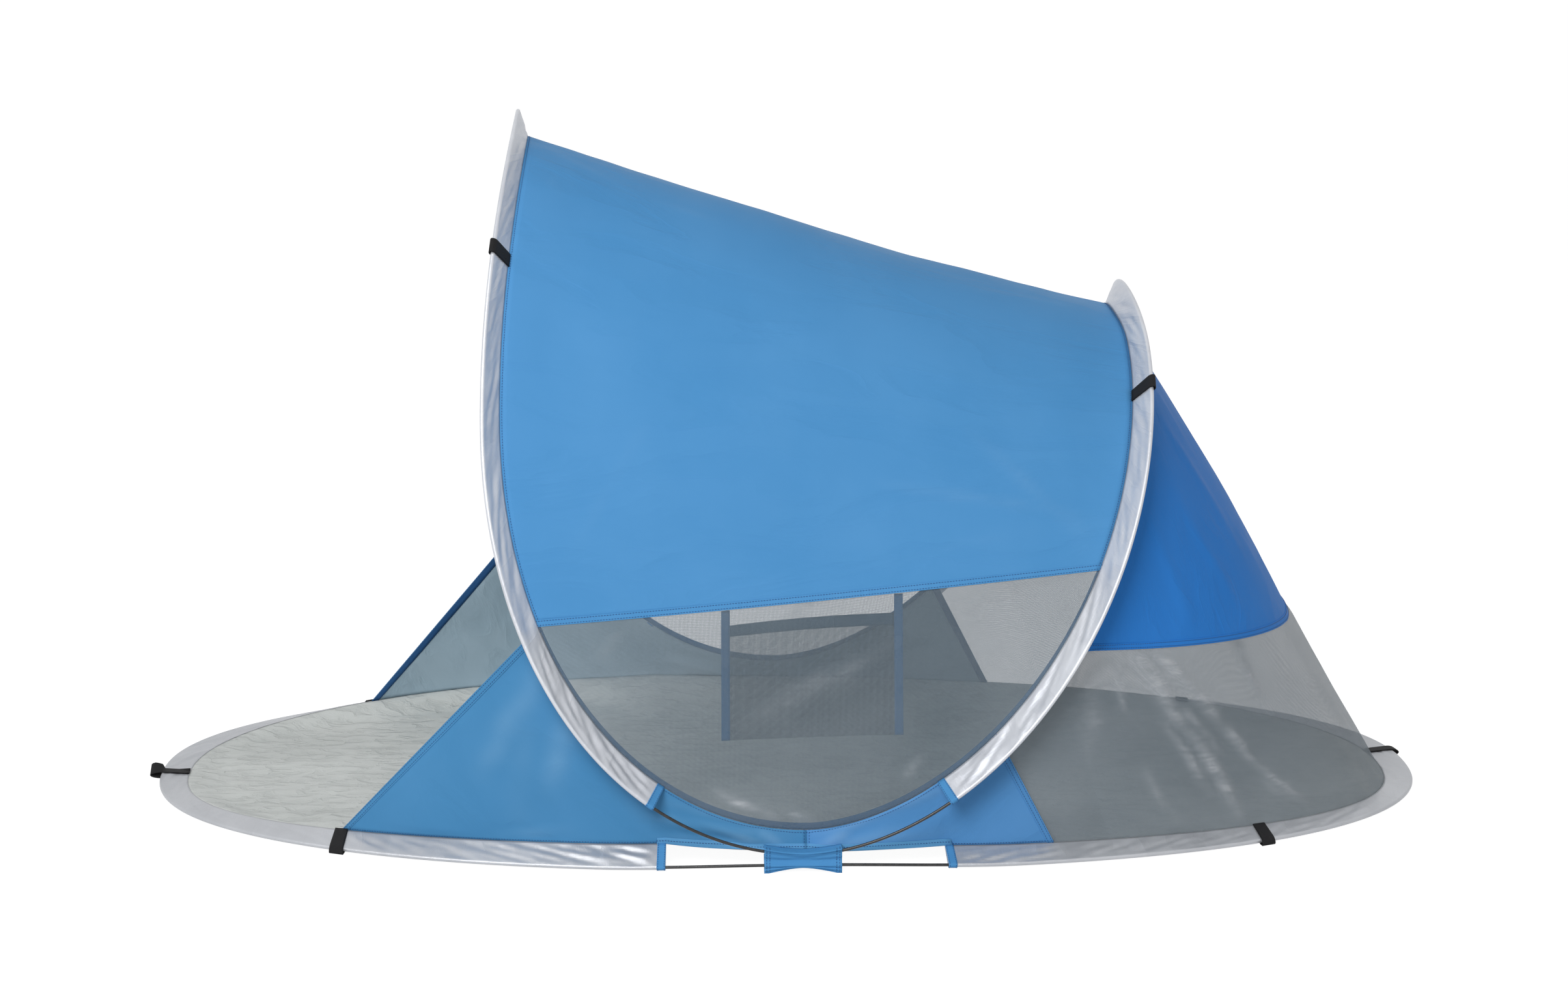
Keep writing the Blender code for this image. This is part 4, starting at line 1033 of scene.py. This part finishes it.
for kind, (arch, ground, last, steps, ripples, folds, also, face, body) in PANELS.items():
    tops, feet = ([one.seam for one in half[:last + 1]] for half in (arch, ground))
    base = lengths_along(feet)[-1]
    flat_rows = ruled(tops, feet, steps)
    panel_area = area_of(flat_rows)
    for side in ("near", "far"):
        rows, glints = rippled(on_side(flat_rows, side), ripples, folds, 0.06, 0.006)
        panel = cloth(f"{side}_{kind}", [rows], CLOTH, face, grey_lining, glints=glints)
        fit(panel, "fold", "light_blue_cloth", f"{kind}_{side}", *[f"{node}_{side}" for node in also])
        lines = [row[::-1] for row in rows]
        hem = hem_strip(f"{side}_{kind}_hem", lines, face)
        fit(hem, body, "light_blue_cloth")
        binding = cloth(f"{side}_{kind}_binding", [laid(lines, [0.0, 0.001, 0.007, HEM + 0.001], BINDING_OFF)],
                        STRIP, navy_tape)
        fit(binding, body, "navy_tape")
        foot_lines = columns_of([row[:FOOT_COLUMNS] for row in rows[::-1]])
        foot = cloth(f"{side}_{kind}_foot", [laid(foot_lines, [0.0, 0.0005, 0.004, 0.0115, 0.0120], FOOT_OFF)],
                     STRIP, lit_foot_cloth)
        fit(foot, "fold", "light_blue_cloth")
        stitch("fold", foot_lines, ON_FOOT, FOOT_STITCH)
        stitch(body, lines, ON_HEM, HEM_STITCH, HEM - 0.003)
        for edge in (rows, columns_of(rows), columns_of(rows[::-1])):
            stitch("fold", edge, ON_CLOTH, SEAM_STITCH)


# Rear wall
# The upper part is a deeper blue polyester and the lower part is netting, joined at a double-stitched hem that
# puckers. The wall slopes out from the rear arch to the floor loop and is pulled tight down the middle.

deep_blue_cloth = cloth_finish("deep blue cloth", (0.028, 0.208, 0.640), (0.036, 0.228, 0.680), 0.50,
                               (14.0, 6.0, 0.00200, 0.25), specular=0.08)
WALL_HEM_HEIGHT, WALL_HEM_DIP = 0.340, 0.034
DIP_START_HEIGHT, DIP_END_HEIGHT = 0.40, 0.80
HEM_START = sum(REAR_ARCH_STEPS[:4])
rear_floor_whole = whole(rear_floor)


def wall_lines(first):
    """Rulings down the rear wall: the arch seam, the hem and the floor seam, from one side to the other."""
    last = len(rear_whole) - first
    tops = [one.seam for one in rear_whole[first:last]]
    feet = [one.seam for one in rear_floor_whole[first:last]]
    hem = []
    for top, foot in zip(tops, feet):
        dip = max(0.0, min(1.0, (top.z - DIP_START_HEIGHT) / (DIP_END_HEIGHT - DIP_START_HEIGHT)))
        height = min(WALL_HEM_HEIGHT, top.z) - WALL_HEM_DIP * dip
        hem.append(mix(top, foot, (top.z - height) / (top.z - foot.z)))
    return tops, hem, feet


tops, hem, feet = wall_lines(HEM_START)
WALL_STEPS, WALL_FULLNESS = 56, 0.009
rows = ruled(tops, hem, WALL_STEPS)
wall_area = area_of(rows)
for r, row in enumerate(rows):
    for c, point in enumerate(row):
        full = math.sin(math.pi * r / WALL_STEPS) * math.sin(math.pi * c / (len(row) - 1))
        point += Vector((WALL_FULLNESS * full, 0, WALL_FULLNESS * full / 2))
WALL_RIPPLES = [(0.005, (3, 3, 4), 14), (0.0011, (10, 12, 10), 6), (0.0004, (30, 34, 26), 3)]
WALL_FOLDS = [
    ((0.183, 0.323), (0.717, 0.333), 0.014, 0.0028), ((0.267, 0.177), (0.90, 0.170), 0.014, 0.0028),
    ((0.35, 0.25), (0.95, 0.262), 0.016, 0.0026), ((0.40, 0.70), (0.95, 0.72), 0.014, 0.0026),
    ((0.30, 0.60), (0.90, 0.58), 0.016, 0.0024)]
wall_rows, _ = rippled(rows, WALL_RIPPLES, WALL_FOLDS, 0.06, 0.008)
rear_wall = cloth("rear_wall_upper", [wall_rows], CLOTH, deep_blue_cloth, grey_lining)
fit(rear_wall, "rear_half", "deep_blue_cloth", "rear_wall_panel")
wall_columns = columns_of(wall_rows[::-1])
wall_hem = hem_strip("rear_wall_hem", wall_columns, deep_blue_cloth)
fit(wall_hem, "rear_half", "deep_blue_cloth")
stitch("rear_half", wall_columns, ON_HEM, HEM_STITCH, HEM - HEM_STITCH)
stitch("rear_half", columns_of(wall_rows), ON_CLOTH, SEAM_STITCH)

tops, hem, feet = wall_lines(FLAP_END)
# The rear wall's netting is the grey netting painted lighter: painted light. Its folds get painted highlight
# streaks too.
lit_rear_netting = net_finish("grey netting of the rear wall", (0.270, 0.328, 0.380), (0.315, 0.373, 0.425),
                          0.0012, 0.18, 0.61)
NET_STEPS = 72
NET_RIPPLES = [(0.006, (4, 4, 3), 41), (0.0012, (12, 14, 9), 16)]
NET_FOLDS = [
    ((0.033, 0.115), (0.45, 0.139), 0.014, 0.0052), ((0.45, 0.139), (0.95, 0.154), 0.012, 0.0050),
    ((0.033, 0.135), (0.233, 0.163), 0.011, 0.0052), ((0.233, 0.163), (0.433, 0.178), 0.012, 0.0052),
    ((0.433, 0.178), (0.65, 0.197), 0.011, 0.0050), ((0.65, 0.197), (0.933, 0.236), 0.010, 0.0044),
    ((0.40, 0.120), (0.80, 0.136), 0.008, 0.0036), ((0.30, 0.150), (0.62, 0.160), 0.008, 0.0036),
    ((0.62, 0.085), (0.95, 0.095), 0.008, 0.0030), ((0.05, 0.095), (0.35, 0.085), 0.007, 0.0034),
    ((0.10, 0.072), (0.617, 0.038), 0.020, 0.0016), ((0.167, 0.236), (0.30, 0.245), 0.008, 0.0030),
    ((0.75, 0.192), (0.95, 0.236), 0.008, 0.0030), ((0.10, 0.70), (0.90, 0.74), 0.014, 0.0040),
    ((0.05, 0.86), (0.80, 0.84), 0.012, 0.0040)]
rows = ruled(hem, feet, NET_STEPS)
net_area = area_of(rows)
net_rows, net_glints = rippled(rows, NET_RIPPLES, NET_FOLDS, 0.05, 0.012)
rear_net = cloth("rear_wall_net", [net_rows], NET, lit_rear_netting, glints=net_glints)
fit(rear_net, "rear_half", "grey_mesh", "rear_wall_mesh")


# Floor
# One sheet of grey-green coated polyethylene cloth, sewn to the floor loop's seam. It falls to the ground just
# inside the loop and lies there in fine creases.

# Painted shade and light: the floor cloth runs darker in its creases' hollows and lighter on their ridges.
ground_cloth = cloth_finish("grey floor cloth", (0.53, 0.555, 0.54), (0.70, 0.725, 0.705), 0.40,
                            (26.0, 48.0, 0.00420, 0.20), painted_crease_shade=0.45)
FLOOR_FALL, WAIST_FALL_SLOPE = 0.060, 6.0
WAIST_FALL_END = 0.40
FLOOR_REST = 0.0006
FALL_STEPS, CHORD_STEPS = 14, 120
SWELL_MEAN, SWELL_HEIGHT = 0.0024, 0.0042


def ground_swell(point):
    """How high the sheet lies off the ground, in long low creases that run from the porch to the rear."""
    swell = noise.noise(Vector((point.x * 3.5, point.y * 7, 3))) + 0.5 * noise.noise(
        Vector((point.x * 5, point.y * 34, 8)))
    return max(0.0, SWELL_MEAN + SWELL_HEIGHT * swell)


def floor_edge(stations):
    """Lines from the loop's seam in to the ground. Beside the waist, where the seam is high, they slope gently."""
    lines = []
    for one in stations:
        level = Vector((one.inward.x, one.inward.y, 0)).normalized()
        beside = eased((WAIST_FALL_END - abs(one.seam.x)) / (WAIST_FALL_END - FLOOR_CUFF_REACH))
        reach = mix(FLOOR_FALL, max(FLOOR_FALL, WAIST_FALL_SLOPE * one.seam.z), beside)
        line = []
        for i in range(FALL_STEPS + 1):
            share = i / FALL_STEPS
            point = one.seam + level * reach * share
            point.z = FLOOR_REST + (one.seam.z - FLOOR_REST) * (1 - eased(share)) ** 1.2
            line.append(point)
        lines.append(line)
    return lines


front_edge, rear_edge = floor_edge(whole(front_floor)), floor_edge(whole(rear_floor))
feet = list(reversed(front_edge[:len(front_floor)])) + rear_edge[1:len(rear_floor)]
middle = [[mix(line[-1], mirrored(line[-1]), i / CHORD_STEPS) for i in range(CHORD_STEPS + 1)] for line in feet]
floor_grids = [front_edge, rear_edge, middle]
floor_area = sum(area_of(rows) for rows in floor_grids)
for rows in (front_edge, rear_edge):
    for line in rows:
        for i, point in enumerate(line):
            point.z += ground_swell(point) * eased(i / FALL_STEPS)
for line in middle:
    for point in line:
        point.z += ground_swell(point)
floor = cloth("floor", floor_grids, CLOTH, ground_cloth, level=True)
fit(floor, "fold", "floor_cloth", "floor_sheet_front", "floor_sheet_rear")


# Waist sleeves
# A short pouch of the light blue cloth is wrapped round both rods at each side and sewn to the seam above. The
# rods pull it tight in the middle, so it spreads at its open ends like a bow tie, with pleats between.

POUCH_DEPTH, POUCH_LEAN, POUCH_BEND, POUCH_HOLLOW = 0.0198, 0.0035, 0.0025, 0.0040
POUCH_WALL, POUCH_SLIP, POUCH_STEPS = 0.0010, -0.007, 60
POUCH_STITCHES, POUCH_STITCH_OFF = (-0.94, -0.86, 0.86, 0.94), 0.0011
PLEAT_TURN, PLEAT, PUCKER = 0.85, 0.0022, 0.0006


def smooth_line(points, steps):
    """A curve through points, eased round its corners."""
    ends = [points[0] * 2 - points[1], *points, points[-1] * 2 - points[-2]]
    line = []
    for a, b, c, d in zip(ends, ends[1:], ends[2:], ends[3:]):
        for i in range(steps):
            t = i / steps
            line.append(0.5 * (2 * b + (c - a) * t + (2 * a - 5 * b + 4 * c - d) * t * t
                               + (3 * b - a - 3 * c + d) * t ** 3))
    return line + [points[-1]]


def pouch_line(share, side, half):
    """The pouch's line round both rods, at a share of its half-length from the middle."""
    reach = abs(share) ** 1.7
    low = mix(front_floor[0].rod.z - half, POUCH_WALL, reach)
    top = mix(front_arch[0].rod.z, rear_arch[FINE].rod.z, reach) + half
    seam = mix(front_floor[0].seam.z, rear_floor[FINE].seam.z, reach)
    lower_rod = mix(front_floor[0].rod.z, front_floor[FINE].rod.z, reach)
    upper_rod = mix(front_arch[0].rod.z, rear_arch[FINE].rod.z, reach)
    outline = [(-POUCH_DEPTH, seam - POUCH_BEND), (-POUCH_LEAN, low), (POUCH_LEAN * 0.6, low),
               (half * 0.8, mix(low, lower_rod, 0.5)), (half, lower_rod),
               (half - POUCH_HOLLOW, mix(lower_rod, upper_rod, 0.5)), (half, upper_rod), (POUCH_BEND, top),
               (-POUCH_DEPTH, max(seam + CLOTH, top))]
    line = smooth_line([Vector((out, height, 0)) for out, height in outline], 6)
    found = []
    for k, point in enumerate(line):
        pleat = max(0.0, math.sin(k * PLEAT_TURN)) * eased(abs(share) * 1.6) * PLEAT
        pucker = PUCKER * abs(noise.noise(Vector((share * 9, k * 0.5, side))))
        out = point.x + (pleat + pucker if point.x > -POUCH_LEAN else 0.0)
        found.append(Vector((share * WAIST_REACH + POUCH_SLIP, side * (-WAIST_HALF_WIDTH - out),
                             max(POUCH_WALL, point.y))))
    return found


NEAR_POUCH_HALF, FAR_POUCH_HALF = 0.0034, 0.0046
for side, turn, half in (("near", 1, NEAR_POUCH_HALF), ("far", -1, FAR_POUCH_HALF)):
    rows = [pouch_line(mix(-1, 1, i / POUCH_STEPS), turn, half) for i in range(POUCH_STEPS + 1)]
    pouch_area = area_of(rows)
    for share in POUCH_STITCHES:
        line = pouch_line(share, turn, half + POUCH_STITCH_OFF)
        stitch_lines["fold"].append([point for point in line if abs(point.y) > WAIST_HALF_WIDTH])
    pouch = cloth(f"{side}_waist_pouch", [rows], POUCH_WALL, blue_cloth)
    fit(pouch, "fold", "light_blue_cloth", f"waist_sleeve_{side}")


# Storage pocket
# A patch of netting hangs inside the near window from two dark blue tapes sewn to the roof's hem. A third tape
# binds its mouth, which stands open a little.

POCKET_FRONT, POCKET_REAR = -0.137, 0.157
POCKET_BOTTOM, POCKET_TOP, POCKET_BULGE = (0.205, 0.212), (0.387, 0.405), 0.016
POCKET_TAPE, POCKET_BAND, POCKET_OFF, BEHIND_TAPES = 0.014, 0.018, 0.0042, 0.0014
mouth_tape = tape_finish("dark mouth tape", (0.006, 0.034, 0.066), (0.012, 0.044, 0.082))
# The pocket's netting is the grey netting painted far darker: painted shade.
pocket_net = net_finish("pocket netting", (0.030, 0.040, 0.050), (0.050, 0.060, 0.072), 0.0013, 0.22, 0.70)


def window_point(x, height):
    """A point on the near window, where it hangs flat."""
    for low_a, low_b, high_a, high_b in zip(low_line, low_line[1:], hem_line, hem_line[1:]):
        if low_a.x <= x <= low_b.x:
            share = (x - low_a.x) / (low_b.x - low_a.x)
            low, high = mix(low_a, low_b, share), mix(high_a, high_b, share)
            return mix(low, high, (height - low.z) / (high.z - low.z))


def pocket_span(x):
    """The share of the way along the pocket, and the heights of its bottom and mouth there."""
    along = (x - POCKET_FRONT) / (POCKET_REAR - POCKET_FRONT)
    return along, mix(*POCKET_BOTTOM, along), mix(*POCKET_TOP, along)


def pocket_rows(xs, shares, stand_off):
    """Points at shares of the pocket's height. Its bottom and its mouth both rise a little to the rear."""
    rows = []
    for share in shares:
        row = []
        for x in xs:
            along, bottom, top = pocket_span(x)
            height = mix(bottom, top, share)
            bulge = POCKET_BULGE * min(1.0, share) * math.sin(math.pi * along)
            ripple = 0.0010 * noise.noise(Vector((x * 30, height * 30, 5)))
            row.append(window_point(x, height) + Vector((0, stand_off + bulge + ripple, 0)))
        rows.append(row)
    return rows


def steps_between(first, last, count):
    return [mix(first, last, i / count) for i in range(count + 1)]


def hem_share(x):
    """The share of the pocket's height, above its mouth, at which the roof's hem passes."""
    _, bottom, top = pocket_span(x)
    for a, b in zip(hem_line, hem_line[1:]):
        if a.x <= x <= b.x:
            return (mix(a.z, b.z, (x - a.x) / (b.x - a.x)) - 0.002 - bottom) / (top - bottom)


inner_front, inner_rear = POCKET_FRONT + POCKET_TAPE, POCKET_REAR - POCKET_TAPE
band_share = POCKET_BAND / (POCKET_TOP[0] - POCKET_BOTTOM[0])
front_end, rear_end = hem_share(POCKET_FRONT), hem_share(inner_rear)
# Each part: its ends and steps along the tent and up the pocket, stand-off, thickness, finish, node and size
pocket_parts = {
    "pocket_net": ((POCKET_FRONT, POCKET_REAR, 48), (0.0, 1.0, 36), POCKET_OFF + BEHIND_TAPES, NET, pocket_net,
                   "pocket_mesh", "grey_mesh", (0.294, 0.188)),
    "pocket_mouth_tape": ((inner_front, inner_rear, 40), (1.0 - band_share, 1.0, 4), POCKET_OFF, STRIP,
                          mouth_tape, "pocket_band", "navy_tape", (0.266, POCKET_BAND)),
    "pocket_front_tape": ((POCKET_FRONT, inner_front, 4), (0.0, front_end, 44), POCKET_OFF, STRIP,
                          window_tape, "pocket_tape_front", "navy_tape", (POCKET_TAPE, 0.225)),
    "pocket_rear_tape": ((inner_rear, POCKET_REAR, 4), (0.0, rear_end, 44), POCKET_OFF, STRIP,
                         window_tape, "pocket_tape_rear", "navy_tape", (POCKET_TAPE, 0.225)),
}
for name, (long, up, off, thickness, finish, node, slot, flat) in pocket_parts.items():
    part = cloth(name, [pocket_rows(steps_between(*long), steps_between(*up), off)], thickness, finish)
    fit(part, "fold", slot, node)


# Stitching
# Polyester thread runs along every hem, binding and seam, about two stitches to the centimetre, each a small
# pulled bead that sinks slightly into the cloth.

stitch_tree, tree, line, given = start_tree(
    "stitches along lines", {"Pitch": "Float", "Length": "Float", "Thickness": "Float"})
places = tree.node("GeometryNodeResampleCurve", {"mode": "LENGTH"}, {"Curve": line, "Length": given["Pitch"]})
bead = tree.node("GeometryNodeMeshIcoSphere", inputs={"Radius": 0.5, "Subdivisions": 1})
tangent = tree.node("GeometryNodeInputTangent")
turned = tree.node("FunctionNodeAlignRotationToVector", {"axis": "Z"}, {"Vector": tangent})
size = tree.node("ShaderNodeCombineXYZ", inputs={"X": given["Thickness"], "Y": given["Thickness"],
                                                 "Z": given["Length"]})
beads = tree.node("GeometryNodeInstanceOnPoints", inputs={"Points": places, "Instance": bead,
                                                          "Rotation": turned, "Scale": size})
end_tree(tree, beads, given)

thread, tree = start_material("blue sewing thread")
twist = solid_noise(tree, 2600.0, 2.0)
finish_material(tree, {
    "Base Color": mixed(twist, (0.010, 0.060, 0.190), (0.020, 0.090, 0.250)),
    "Roughness": between_values(twist, 0.2, 0.8, 0.45, 0.65)}, twist, 0.00006)

STITCH = {"Pitch": 0.0046, "Length": 0.0034, "Thickness": 0.0012, "Material": thread}
for body, lines in stitch_lines.items():
    lines += cuff_stitches.get(body, [])
    fit(grown(f"stitches_{body}", lines, False, stitch_tree, STITCH), body)
